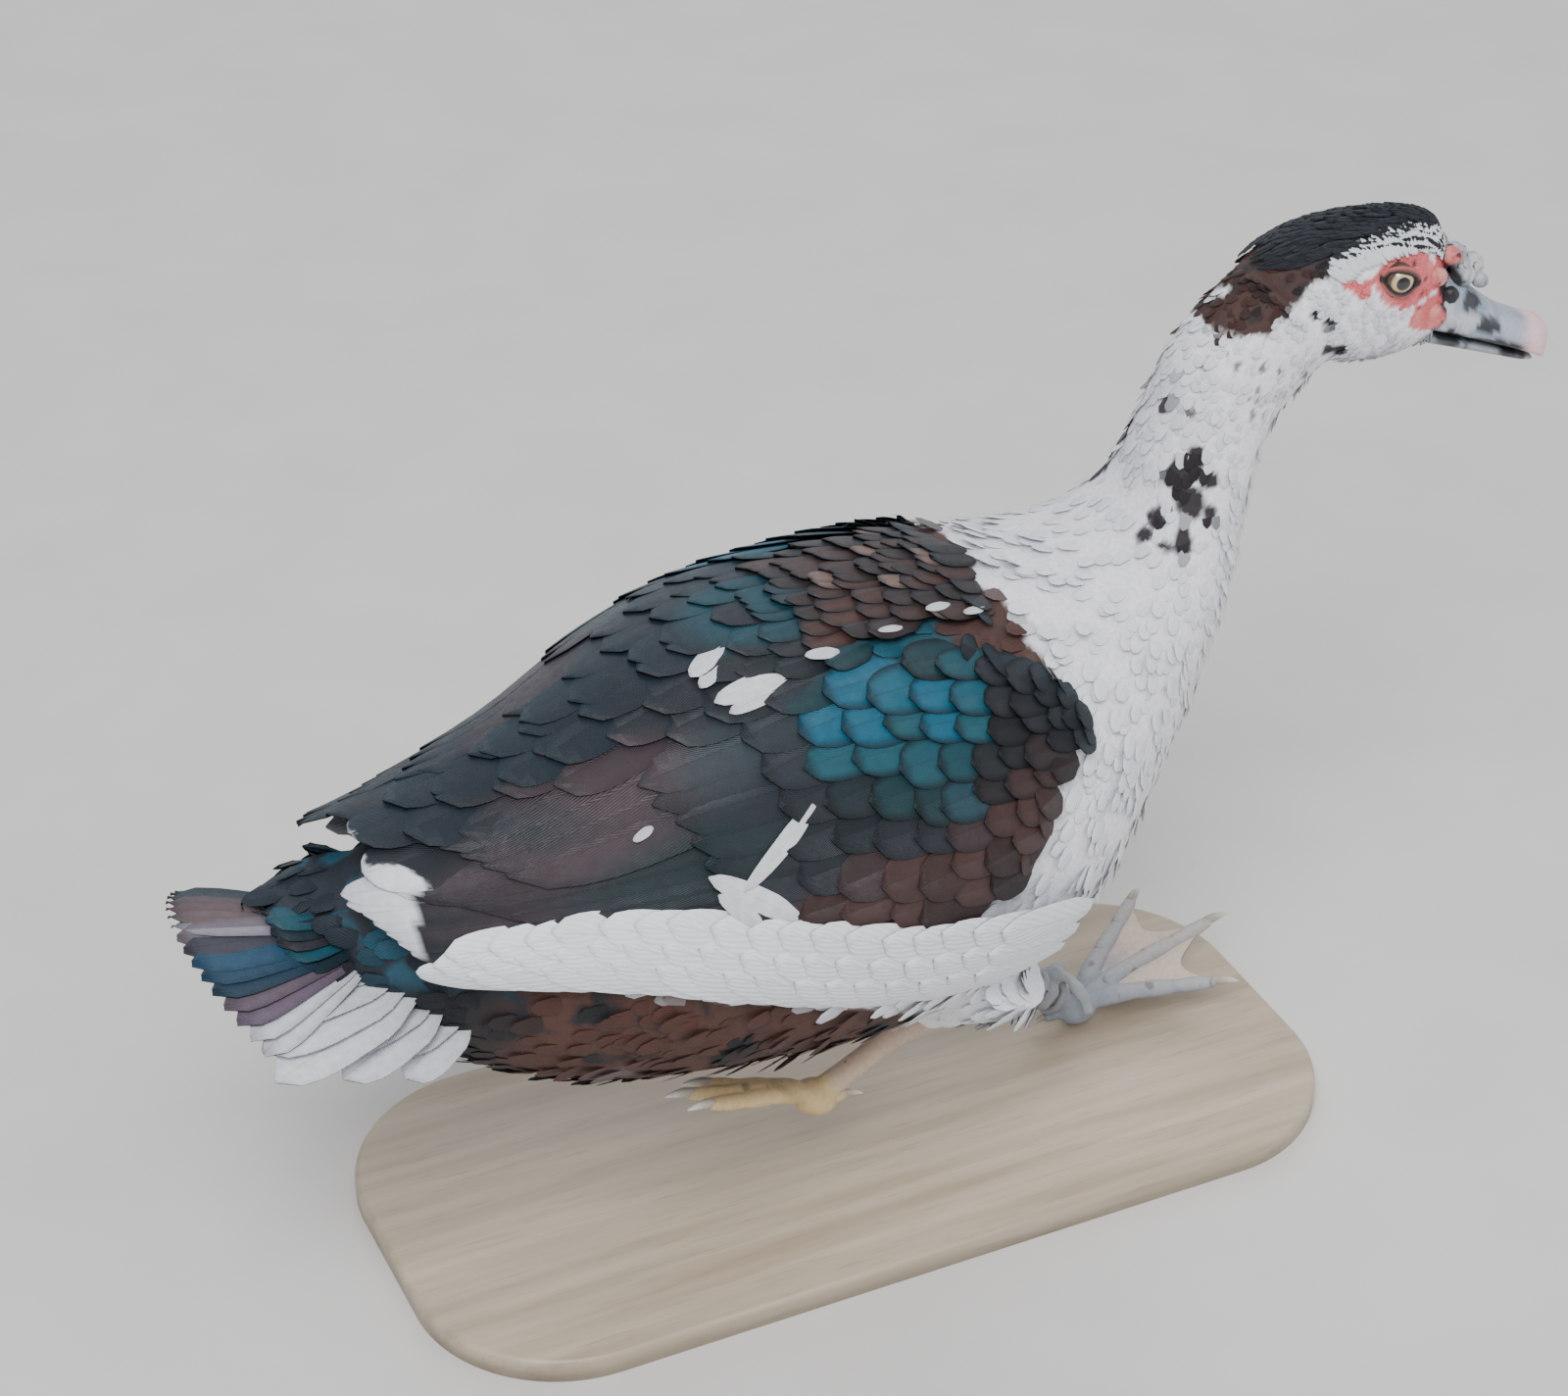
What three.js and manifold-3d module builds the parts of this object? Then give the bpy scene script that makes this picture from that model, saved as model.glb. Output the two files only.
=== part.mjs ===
// A muscovy duck in mid stride, life size, as a still museum model on a plain base.
// Millimetres. +X is the way the bird faces, +Y is its left side and +Z is up.
// The origin is the centre of the base's underside.
import * as THREE from "three";
import { mergeVertices } from "three/addons/utils/BufferGeometryUtils.js";
import Module from "manifold-3d";

const wasm = await Module();
wasm.setup();

// Driving dimensions
const GAP = 0.3; // clearance between touching pieces
const BASE = { length: 390, width: 180, height: 10, corner: 60, bevel: 2 };
const GROUND = BASE.height + GAP; // where the standing foot's flats are
const TRUNK_COLUMNS = 24;
const SWAY = { from: -40, to: -150, by: -14 }; // the rear swings to its right in the stride

// Trunk and neck, from the tail root to inside the head, as pairs of points in
// the plane of symmetry: back line, belly line, half width. Heights are above the ground.
const BODY = [
  { top: [-214, 184], bottom: [-206, 138], half: 20 },
  { top: [-186, 197], bottom: [-176, 108], half: 40 },
  { top: [-140, 216], bottom: [-132, 87], half: 61 },
  { top: [-95, 233], bottom: [-90, 77], half: 81 },
  { top: [-50, 245], bottom: [-48, 72], half: 94 },
  { top: [0, 251], bottom: [-5, 71], half: 96 },
  { top: [45, 251], bottom: [38, 77], half: 90 },
  { top: [76, 249], bottom: [75, 100], half: 79 },
  { top: [94, 250], bottom: [102, 134], half: 66 },
  { top: [106, 255], bottom: [130, 174], half: 52 },
  { top: [115, 265], bottom: [151, 211], half: 39 },
  { top: [119, 281], bottom: [163, 241], half: 29 },
  { top: [125, 298], bottom: [169, 264], half: 24.5 },
  { top: [132, 315], bottom: [176, 281], half: 22.5 },
  { top: [145, 332], bottom: [188, 294], half: 21.5 },
  { top: [163, 347], bottom: [201, 303], half: 20 },
];
const NECK_FROM = 8.6; // station where the neck meets the trunk
const HEAD_FROM = 13.3; // station where the head meets the neck

// The folded wing lies on an envelope of ellipses round a line through the trunk.
const WING_SKIN = [
  { x: 100, half: 70, rise: 74, height: 166 },
  { x: 70, half: 90, rise: 84, height: 166 },
  { x: 35, half: 99, rise: 88, height: 165 },
  { x: 0, half: 103, rise: 90, height: 164 },
  { x: -45, half: 101, rise: 85, height: 164 },
  { x: -90, half: 88, rise: 73, height: 166 },
  { x: -135, half: 69, rise: 53, height: 170 },
  { x: -180, half: 53, rise: 32, height: 176 },
  { x: -220, half: 38, rise: 18, height: 183 },
  { x: -262, half: 26, rise: 9, height: 189 },
];

const TAIL = {
  root: [-188, -14, 166],
  lift: 13,
  roll: 7,
  fan: 36,
  tiers: [
    { count: 9, from: 18, to: 82, width: 22, sunk: 0.6, lift: 1.1 },
    { count: 6, from: 6, to: 50, width: 20, sunk: 9, lift: 4.3 },
  ],
};

// The head has its own frame: x along the mouth line, z up through the crown.
const HEAD = { at: [203, -1, 323], yaw: -12, pitch: 14 };
const EYE = { x: 12, y: 17.3, z: 19, radius: 6.2 };
const BILL_FROM = 39;

// Legs, with the knee, hock and ball of the foot as points of the trunk's frame
const LEGS = {
  left: { knee: [36, 44, 112], hock: [64, 16, 46], ball: [114, 12, 8.5] },
  right: { knee: [36, -58, 112], hock: [10, -46, 80], ball: [-33, -42, 51] },
};
const FEET = {
  left: { yaw: 10, pitch: 11, spread: 30, curl: 0, reach: 1 },
  right: { yaw: 183, pitch: 20, spread: 8, curl: 3, reach: 0.8 },
};
const TOES = { inner: 59, middle: 73, outer: 67, hind: 15, radius: 5 };

const rad = THREE.MathUtils.degToRad;
const mix = THREE.MathUtils.lerp;
const V = (x, y, z) => new THREE.Vector3(x, y, z);
const onGround = ([x, y, z]) => V(x, y, z + GROUND);
const sway = (x) => SWAY.by * THREE.MathUtils.smoothstep(-x, -SWAY.from, -SWAY.to);

// A seeded draw from -1 to 1, so that feathers vary the same way each time
function wobble(seed) {
  const s = Math.sin(seed * 12.9898 + 4.1) * 43758.5453;
  return 2 * (s - Math.floor(s)) - 1;
}

// Uniform Catmull-Rom through rows of numbers, at a fractional row
function along(rows, t) {
  const last = rows.length - 1;
  const i = Math.min(Math.max(Math.floor(t), 0), last - 1);
  const f = t - i;
  const at = (k) => rows[Math.min(Math.max(k, 0), last)];
  return rows[0].map((_, c) => {
    const [a, b, d, e] = [at(i - 1)[c], at(i)[c], at(i + 1)[c], at(i + 2)[c]];
    return b + 0.5 * f * (d - a + f * (2 * a - 5 * b + 4 * d - e + f * (3 * (b - d) + e - a)));
  });
}

// Solids

function solid(geometry) {
  const bare = geometry.index ? geometry.toNonIndexed() : geometry.clone();
  for (const name of Object.keys(bare.attributes)) if (name !== "position") bare.deleteAttribute(name);
  const merged = mergeVertices(bare, 1e-4);
  return new wasm.Manifold(
    new wasm.Mesh({
      numProp: 3,
      vertProperties: new Float32Array(merged.attributes.position.array),
      triVerts: new Uint32Array(merged.index.array),
    }),
  );
}

const join = (pieces) => pieces.reduce((whole, piece) => whole.add(piece));

function geometryOf(whole) {
  const { vertProperties, numProp, numVert, triVerts } = whole.getMesh();
  const position = new Float32Array(numVert * 3);
  for (let i = 0; i < numVert; i++) {
    position.set(vertProperties.subarray(i * numProp, i * numProp + 3), 3 * i);
  }
  return new THREE.BufferGeometry()
    .setAttribute("position", new THREE.BufferAttribute(position, 3))
    .setIndex(new THREE.BufferAttribute(triVerts, 1));
}

// The largest closed surface of a solid, with no loose scrap and no sealed hollow
function largest(whole) {
  const geometry = geometryOf(whole);
  const index = geometry.index.array;
  const parent = Array.from({ length: geometry.attributes.position.count }, (_, i) => i);
  const root = (i) => {
    while (parent[i] !== i) i = parent[i] = parent[parent[i]];
    return i;
  };
  for (let k = 0; k < index.length; k += 3) {
    parent[root(index[k])] = root(index[k + 1]);
    parent[root(index[k + 2])] = root(index[k + 1]);
  }
  const shells = new Map();
  const corner = (i) => new THREE.Vector3().fromBufferAttribute(geometry.attributes.position, i);
  for (let k = 0; k < index.length; k += 3) {
    const key = root(index[k]);
    const shell = shells.get(key) ?? { faces: [], volume: 0 };
    const [a, b, c] = [0, 1, 2].map((n) => corner(index[k + n]));
    shell.volume += a.dot(b.cross(c)) / 6;
    shell.faces.push(index[k], index[k + 1], index[k + 2]);
    shells.set(key, shell);
  }
  const kept = [...shells.values()].reduce((a, b) => (b.volume > a.volume ? b : a));
  return geometry.setIndex(kept.faces);
}

// A closed skin over rings of points, each ring counterclockwise seen from the last one
function loft(rings) {
  const columns = rings[0].length;
  const vertices = rings.flat();
  const index = [];
  for (let i = 0; i < rings.length - 1; i++) {
    for (let j = 0; j < columns; j++) {
      const a = i * columns + j;
      const b = i * columns + ((j + 1) % columns);
      index.push(a, b, b + columns, a, b + columns, a + columns);
    }
  }
  for (const [row, outward] of [
    [0, false],
    [rings.length - 1, true],
  ]) {
    const centre = rings[row].reduce((sum, p) => sum.add(p), V(0, 0, 0)).divideScalar(columns);
    vertices.push(centre);
    for (let j = 0; j < columns; j++) {
      const a = row * columns + j;
      const b = row * columns + ((j + 1) % columns);
      index.push(vertices.length - 1, ...(outward ? [a, b] : [b, a]));
    }
  }
  return new THREE.BufferGeometry().setFromPoints(vertices).setIndex(index);
}

// A ring round a centre: w to each side, up and down along the other axis
function ring(centre, side, rise, w, up, down, columns, power = 2) {
  const points = [];
  for (let j = 0; j < columns; j++) {
    const q = (2 * Math.PI * j) / columns;
    const c = Math.sign(Math.cos(q)) * Math.abs(Math.cos(q)) ** (2 / power);
    const s = Math.sign(Math.sin(q)) * Math.abs(Math.sin(q)) ** (2 / power);
    points.push(
      centre
        .clone()
        .addScaledVector(side, c * w)
        .addScaledVector(rise, s * (s > 0 ? up : down)),
    );
  }
  return points;
}

// A tube through points, with a radius at each
function limb(points, radii, columns, flatten = 1) {
  const rings = points.map((p, i) => {
    const ahead = points[Math.min(i + 1, points.length - 1)];
    const behind = points[Math.max(i - 1, 0)];
    const forward = ahead.clone().sub(behind).normalize();
    const side = V(0, 0, 1).cross(forward);
    if (side.length() < 0.05) side.set(0, 1, 0);
    side.normalize();
    const rise = forward.clone().cross(side);
    return ring(p, side, rise, radii[i], radii[i] * flatten, radii[i] * flatten, columns);
  });
  return loft(rings);
}

// A feather's vane: how far along, and how wide against its full width
const VANE = [
  [0, 0.55],
  [0.35, 1],
  [0.82, 0.9],
  [1, 0.3],
];

// A vane over a surface given as place(t, across, height), from a sunk root to a raised
// tip. A tilt raises one edge, so that neighbours lie like tiles. Both faces are split alike.
function vane(place, { width, sunk = -2, lift = 2.5, tilt = 0.6, thick = 1.3, shape = VANE }) {
  const vertices = [];
  for (const [t, w] of shape) {
    const half = (width * w) / 2;
    const low = mix(sunk, lift, t);
    const high = low + mix(thick, 0.55, t);
    for (const [across, height] of [
      [-half, high - tilt],
      [half, high + tilt],
      [-half, low - tilt],
      [half, low + tilt],
    ]) {
      vertices.push(place(t, across, height));
    }
  }
  const index = [0, 3, 1, 0, 2, 3];
  const last = 4 * (shape.length - 1);
  for (let a = 0; a < last; a += 4) {
    index.push(a, a + 1, a + 5, a, a + 5, a + 4);
    index.push(a + 2, a + 7, a + 3, a + 2, a + 6, a + 7);
    index.push(a, a + 6, a + 2, a, a + 4, a + 6);
    index.push(a + 1, a + 3, a + 7, a + 1, a + 7, a + 5);
  }
  index.push(last, last + 1, last + 3, last, last + 3, last + 2);
  const geometry = new THREE.BufferGeometry().setFromPoints(vertices).setIndex(index);
  const made = solid(geometry);
  return made.volume() > 0 ? made : solid(geometry.setIndex(index.reverse()));
}

// Trunk, neck and head

const BODY_ROWS = BODY.map(({ top, bottom, half }) => [...top, ...bottom, half]);

function bodyRing(t, grow) {
  const [xTop, zTop, xLow, zLow, half] = along(BODY_ROWS, t);
  const rise = V(xTop - xLow, 0, zTop - zLow);
  const reach = rise.length() / 2;
  rise.normalize();
  const middle = (xTop + xLow) / 2;
  const centre = V(middle, sway(middle), (zTop + zLow) / 2 + GROUND);
  return ring(centre, V(0, 1, 0), rise, half + grow, reach + grow, reach + grow, TRUNK_COLUMNS, 2.15);
}

function bodyBetween(from, to, steps, grow = 0) {
  const rings = [];
  for (let i = 0; i <= steps; i++) rings.push(bodyRing(mix(from, to, i / steps), grow));
  return loft(rings);
}

const pose = new THREE.Matrix4().makeRotationFromEuler(
  new THREE.Euler(0, rad(HEAD.pitch), rad(HEAD.yaw), "ZYX"),
);
pose.setPosition(onGround(HEAD.at));
const inHead = (x, y, z) => V(x, y, z).applyMatrix4(pose);

// Head sections along x: half width, up and down from the mouth line
const SKULL = [
  [-44, 3, 6, 2],
  [-42, 10, 13, 7],
  [-35, 15.5, 21, 14],
  [-24, 19, 29, 20],
  [-10, 21.5, 35, 23],
  [4, 22, 39, 23.5],
  [16, 20.5, 41, 21.5],
  [26, 17.5, 39, 18],
  [33, 14.5, 31, 14],
  [BILL_FROM, 12.5, 20, 9.5],
];

// The fractional row of the skull at a place along the head
function skullStation(x) {
  let i = 0;
  while (i < SKULL.length - 2 && SKULL[i + 1][0] < x) i++;
  return i + (x - SKULL[i][0]) / (SKULL[i + 1][0] - SKULL[i][0]);
}

function headLoft() {
  return loft(
    SKULL.map(([x, w, up, down]) => ring(V(x, 0, 0), V(0, 1, 0), V(0, 0, 1), w, up, down, 24, 2.1)),
  ).applyMatrix4(pose);
}

// Upper and lower bill along x: half width, upper edge and lower edge
const UPPER_BILL = [
  [BILL_FROM + GAP, 12.3, 17.5, -4.2],
  [46, 12.2, 15.5, -4.6],
  [55, 11.8, 11.5, -5.3],
  [65, 11.7, 7.6, -6],
  [75, 12.2, 5.5, -6.8],
  [82, 11.4, 5, -8],
  [87, 8, 2.5, -9.8],
  [89.5, 3, -2, -10],
];
const LOWER_BILL = [
  [BILL_FROM + GAP, 10.8, -4.2 - GAP, -9.6],
  [50, 10.4, -5.1 - GAP, -10],
  [65, 10.2, -6.2 - GAP, -10.6],
  [77, 9.6, -7.3 - GAP, -11.2],
  [84, 6, -9 - GAP, -11.6],
];

function billLoft(sections, crown) {
  return loft(
    sections.map(([x, w, top, low]) => {
      const middle = mix(low, top, crown);
      return ring(V(x, 0, middle), V(0, 1, 0), V(0, 0, 1), w, top - middle, middle - low, 16, 2.5);
    }),
  ).applyMatrix4(pose);
}

// Wing envelope: a point at x, at an angle from the top, and at a height over it
const WING_ROWS = WING_SKIN.map(({ x, half, rise, height }) => [x, half, rise, height]);

function wingRow(x) {
  let i = 0;
  while (i < WING_ROWS.length - 2 && WING_ROWS[i + 1][0] > x) i++;
  const f = (WING_ROWS[i][0] - x) / (WING_ROWS[i][0] - WING_ROWS[i + 1][0]);
  return along(WING_ROWS, i + f);
}

function onWing(side, x, angle, height) {
  const [, half, rise, middle] = wingRow(x);
  const a = rad(angle);
  const out = sway(x) + side * (half + height) * Math.sin(a);
  return V(x, out, middle + GROUND + (rise + height) * Math.cos(a));
}

const meshes = [];
const colours = {
  dark: { color: 0x23262b, roughness: 0.6, metalness: 0 },
  white: { color: 0xe9eaee, roughness: 0.8, metalness: 0 },
  skin: { color: 0xd9636b, roughness: 0.6, metalness: 0 },
  bill: { color: 0x8d95a5, roughness: 0.45, metalness: 0 },
  eye: { color: 0x17130d, roughness: 0.08, metalness: 0 },
  foot: { color: 0xc9ac93, roughness: 0.6, metalness: 0 },
  claw: { color: 0x8a7f75, roughness: 0.4, metalness: 0 },
  rag: { color: 0x8b8c90, roughness: 0.9, metalness: 0 },
  base: { color: 0xb9b2a6, roughness: 0.55, metalness: 0 },
};

function node(name, whole, material) {
  const mesh = new THREE.Mesh(largest(whole), new THREE.MeshStandardMaterial(colours[material]));
  mesh.name = name;
  meshes.push(mesh);
}

// Trunk
const trunk = solid(bodyBetween(0, NECK_FROM, 16));
const trunkRoom = solid(bodyBetween(-0.02, NECK_FROM + 0.02, 16, GAP));
node("torso", trunk, "white");

// Neck and head, parted by a plane
const headWhole = solid(headLoft());
const neckWhole = solid(bodyBetween(NECK_FROM + 0.015, BODY.length - 1, 12));
const [xNape, zNape, xThroat, zThroat] = along(BODY_ROWS, HEAD_FROM);
const headCut = V(zNape - zThroat, 0, xThroat - xNape).normalize();
const cutAt = headCut.dot(V(xNape, 0, zNape + GROUND));
const upper = headWhole.add(neckWhole);
node("neck", upper.trimByPlane([-headCut.x, 0, -headCut.z], GAP / 2 - cutAt), "white");

const eyeRoom = (side, extra) =>
  solid(
    new THREE.SphereGeometry(EYE.radius + extra, 14, 8).applyMatrix4(
      pose.clone().multiply(new THREE.Matrix4().makeTranslation(EYE.x, side * EYE.y, EYE.z)),
    ),
  );
// A lump of the bare skin: a squashed ball at a place on the head
function lump([x, y, z], [a, b, c]) {
  return solid(new THREE.SphereGeometry(1, 7, 4).scale(a, b, c).translate(x, y, z).applyMatrix4(pose));
}

// A crest lock over the crown, from its root back and up to its tip
function crestLock(x, y, lean, length, rise) {
  const at = (t, across, height) => {
    const back = x - length * t;
    const out = y * (1 + 0.25 * t) + across;
    const crown = along(SKULL, skullStation(back))[2];
    return inHead(back, out, crown - 3 + height - (out * out) / 46 + rise * Math.sin(2.2 * t) + lean * t);
  };
  return vane(at, { width: 10, sunk: 0, lift: 1, tilt: 0, thick: 1.6 });
}

// Upper and lower lids: rims round the front of the eye
function lids(side) {
  const rim = [];
  for (let i = 0; i <= 10; i++) {
    const q = (2 * Math.PI * i) / 10;
    const reach = EYE.radius + 0.6;
    rim.push(inHead(EYE.x + 1.16 * reach * Math.cos(q), side * (EYE.y + 2.4), EYE.z + 0.78 * reach * Math.sin(q)));
  }
  const rings = rim.slice(0, 10).map((point, i) => {
    const forward = rim[i + 1].clone().sub(rim[(i + 9) % 10]).normalize();
    const outward = V(0, 1, 0).transformDirection(pose);
    return ring(point, outward, forward.clone().cross(outward), 2.6, 1.5, 1.5, 5);
  });
  rings.push(rings[0].map((point) => point.clone()));
  const bare = new THREE.BufferGeometry().setFromPoints(rings.flat());
  const index = [];
  for (let i = 0; i < 10; i++) {
    for (let j = 0; j < 5; j++) {
      const [a, b] = [i * 5 + j, i * 5 + ((j + 1) % 5)];
      index.push(a, b, b + 5, a, b + 5, a + 5);
    }
  }
  return solid(bare.setIndex(index));
}

// Bare face: the patch round each eye, caruncles over the bill's root, and the gape's lobe
const CARUNCLES = [
  { at: [40, 0, 27], size: [6.5, 5, 6] },
  { at: [49, 0, 23], size: [6, 5, 5.5] },
  { at: [36, 7, 27], size: [6, 4, 4.5] },
  { at: [30, 11, 20], size: [4.5, 3.2, 4] },
  { at: [33, 11.5, 4], size: [6, 3, 6] },
  { at: [27, 14.6, 12], size: [5, 2.4, 4] },
];
let head = upper.trimByPlane([headCut.x, 0, headCut.z], cutAt + GAP / 2);
const faceParts = [];
for (const { at, size } of CARUNCLES) {
  for (const side of at[1] === 0 ? [1] : [1, -1]) faceParts.push(lump([at[0], side * at[1], at[2]], size));
}
for (const [x, spread, locks] of [
  [27, 6, 3],
  [13, 8, 3],
  [-2, 9, 3],
]) {
  for (let k = 0; k < locks; k++) faceParts.push(crestLock(x, (k - (locks - 1) / 2) * spread, 1.5, 22, 3.2));
}
head = join([head, ...faceParts, lids(1), lids(-1)]);

const billUpper = solid(billLoft(UPPER_BILL, 0.25));
const billLower = solid(billLoft(LOWER_BILL, 0.7));
const grown = (sections) => sections.map(([x, w, top, low], i) => [x + (i ? GAP : -GAP), w + GAP, top + GAP, low - GAP]);
head = head.subtract(solid(billLoft(grown(UPPER_BILL), 0.25))).subtract(solid(billLoft(grown(LOWER_BILL), 0.7)));

const nostrils = [1, -1].map((side) => lump([54, side * 8.2, 6.5], [3.2, 2.2, 1.3]));
node("bill_upper", billUpper.subtract(join(nostrils)), "bill");
node("bill_lower", billLower, "bill");
for (const [side, name] of [
  [1, "left"],
  [-1, "right"],
]) {
  head = head.subtract(eyeRoom(side, GAP));
  node("eye_" + name, eyeRoom(side, 0), "eye");
}
node("head", head, "white");

// Wings

// A vane on the wing from one place to another, as distances along and angles from the top
function wingVane(side, [x0, a0], [x1, a1], options) {
  const place = (t, across, height) => {
    const x = mix(x0, x1, t);
    const [, half, rise] = wingRow(x);
    const perDegree = rad(half + rise) / 2;
    const heading = V(x1 - x0, (a1 - a0) * perDegree, 0).normalize();
    return onWing(side, x - heading.y * across, mix(a0, a1, t) + (heading.x * across) / perDegree, height);
  };
  return vane(place, options);
}

// Tiers from the tip of the wing forward. Each has its first and last vane, from root to tip.
const WING_TIERS = [
  { count: 4, root: [[-110, 72], [-120, 54]], tip: [[-197, 80], [-216, 36]], width: 24, lift: 1.2 },
  { count: 4, root: [[-56, 80], [-80, 52]], tip: [[-146, 82], [-194, 46]], width: 34, lift: 2 },
  { count: 2, root: [[-50, 42], [-60, 24]], tip: [[-176, 40], [-186, 18]], width: 34, lift: 3.4 },
  { count: 3, root: [[-28, 82], [-10, 44]], tip: [[-96, 81], [-104, 42]], width: 44, lift: 3 },
  { count: 4, root: [[6, 78], [34, 38]], tip: [[-48, 81], [-40, 36]], width: 31, lift: 3.2 },
  { count: 3, root: [[36, 68], [68, 36]], tip: [[-6, 75], [16, 34]], width: 33, lift: 3.2 },
  { count: 2, root: [[-6, 34], [-6, 20]], tip: [[-122, 32], [-132, 16]], width: 34, lift: 4.6 },
  { count: 2, root: [[62, 36], [58, 22]], tip: [[-36, 33], [-44, 18]], width: 32, lift: 4.6 },
];

// The wing's front edge slants back as it runs down
const wingFront = (angle) => mix(84, 2, (angle - 30) / 62);

function wing(side) {
  const rings = [];
  for (let i = 10; i >= 0; i--) {
    const t = i / 10;
    const [near, far] = [mix(30, 14, t), mix(84, 72, t)];
    const outer = [];
    const inner = [];
    for (let j = 0; j <= 5; j++) {
      const angle = mix(near, far, j / 5);
      const x = mix(wingFront(angle), -192, t);
      outer.push(onWing(side, x, angle, 0));
      inner.unshift(onWing(side, x, angle, -11));
    }
    const ringPoints = [...outer, ...inner];
    rings.push(side > 0 ? ringPoints.reverse() : ringPoints);
  }
  const pieces = [solid(loft(rings))];
  for (const { count, root, tip, width, lift } of WING_TIERS) {
    for (let k = 0; k < count; k++) {
      const f = count === 1 ? 0 : k / (count - 1);
      const start = [mix(root[0][0], root[1][0], f), mix(root[0][1], root[1][1], f)];
      const end = [mix(tip[0][0], tip[1][0], f), mix(tip[0][1], tip[1][1], f)];
      pieces.push(wingVane(side, start, end, { width, lift: lift + 0.25 * wobble(7 * pieces.length), tilt: side * 0.7 }));
    }
  }
  return join(pieces).subtract(trunkRoom);
}

node("wing_left", wing(1), "dark");
node("wing_right", wing(-1), "dark");

// Tail: a fan that droops to both sides and is rolled a little
const tailAim = V(-Math.cos(rad(TAIL.lift)), 0, Math.sin(rad(TAIL.lift)));
const tailRise = V(Math.sin(rad(TAIL.lift)), 0, Math.cos(rad(TAIL.lift)));

function onTail(away, across, height) {
  const point = onGround(TAIL.root).addScaledVector(tailAim, away).addScaledVector(tailRise, height);
  return point.add(V(0, Math.cos(rad(TAIL.roll)), Math.sin(rad(TAIL.roll))).multiplyScalar(across));
}

const TAIL_STEPS = [
  { at: -14, half: 26, thick: 24, droop: 0 },
  { at: 10, half: 34, thick: 16, droop: 4 },
  { at: 32, half: 42, thick: 8, droop: 9 },
  { at: 52, half: 42, thick: 3.2, droop: 13 },
];
const tailRings = TAIL_STEPS.map(({ at, half, thick, droop }) => {
  const points = [];
  for (let j = 0; j < 20; j++) {
    const q = (2 * Math.PI * j) / 20;
    points.push(onTail(at, -half * Math.cos(q), thick * Math.sin(q) - droop * Math.cos(q) ** 2));
  }
  return points;
});

// A tail feather that fans out by an angle, and lies lower the further out it is
function tailVane(angle, from, to, options) {
  const aim = V(Math.cos(rad(angle)), Math.sin(rad(angle)), 0);
  const drop = (t) => (mix(2, 17, t) * angle ** 2) / TAIL.fan ** 2;
  const place = (t, across, height) => {
    const away = mix(from, to, t);
    return onTail(away * aim.x - across * aim.y, away * aim.y + across * aim.x, height - drop(t));
  };
  return vane(place, options);
}

const tailPieces = [solid(loft(tailRings))];
for (const { count, from, to, width, sunk, lift } of TAIL.tiers) {
  for (let k = 0; k < count; k++) {
    const f = (2 * k) / (count - 1) - 1;
    const short = 8 * f * f;
    const uneven = 0.2 * wobble(5 * tailPieces.length);
    const options = { width, sunk, lift: lift - 2.2 * Math.abs(f) + uneven, tilt: -1.25 * Math.sign(f), thick: 1.2 };
    tailPieces.push(tailVane(f * TAIL.fan, from, to - short, options));
  }
}
node("tail", join(tailPieces).subtract(trunkRoom), "dark");

// Legs and feet

function footPose(side) {
  const { yaw, pitch } = FEET[side];
  const turn = new THREE.Matrix4().makeRotationFromEuler(new THREE.Euler(0, rad(-pitch), rad(yaw), "ZYX"));
  return turn.setPosition(onGround(LEGS[side].ball));
}

// A toe as points in the foot's frame, from the ball to where its claw leaves it
function toePath(side, name) {
  const { spread, curl, reach } = FEET[side];
  const angle = rad({ inner: -spread, middle: 0, outer: spread, hind: 165 }[name]);
  const steps = name === "hind" ? 2 : 4;
  const points = [];
  for (let i = 0; i <= steps; i++) {
    const t = i / steps;
    const away = TOES[name] * reach * t;
    const lift = name === "hind" ? 1.5 - 1.2 * t : 0.6 + 4 * Math.sin(Math.PI * t) * (1 - t) - 1.2 * t;
    points.push(V(away * Math.cos(angle), away * Math.sin(angle), lift + curl * t * t));
  }
  return points;
}

function web(a, b) {
  const [from, to] = [a, b].map((path) => path.map((p) => p.toArray()));
  const rings = [];
  for (let i = 0; i <= 4; i++) {
    const s = i / 4;
    const reach = 0.97 - 0.22 * Math.sin(Math.PI * s);
    const top = [];
    const low = [];
    for (let k = 1; k <= 3; k++) {
      const t = (k / 3) * reach;
      const point = V(...along(from, t * (a.length - 1))).lerp(V(...along(to, t * (b.length - 1))), s);
      point.z -= 1.6 * Math.sin(Math.PI * s) * t;
      top.push(point.clone().add(V(0, 0, 1.2)));
      low.unshift(point.clone().add(V(0, 0, -0.4)));
    }
    rings.push([...top, ...low]);
  }
  return solid(loft(rings));
}

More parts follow.
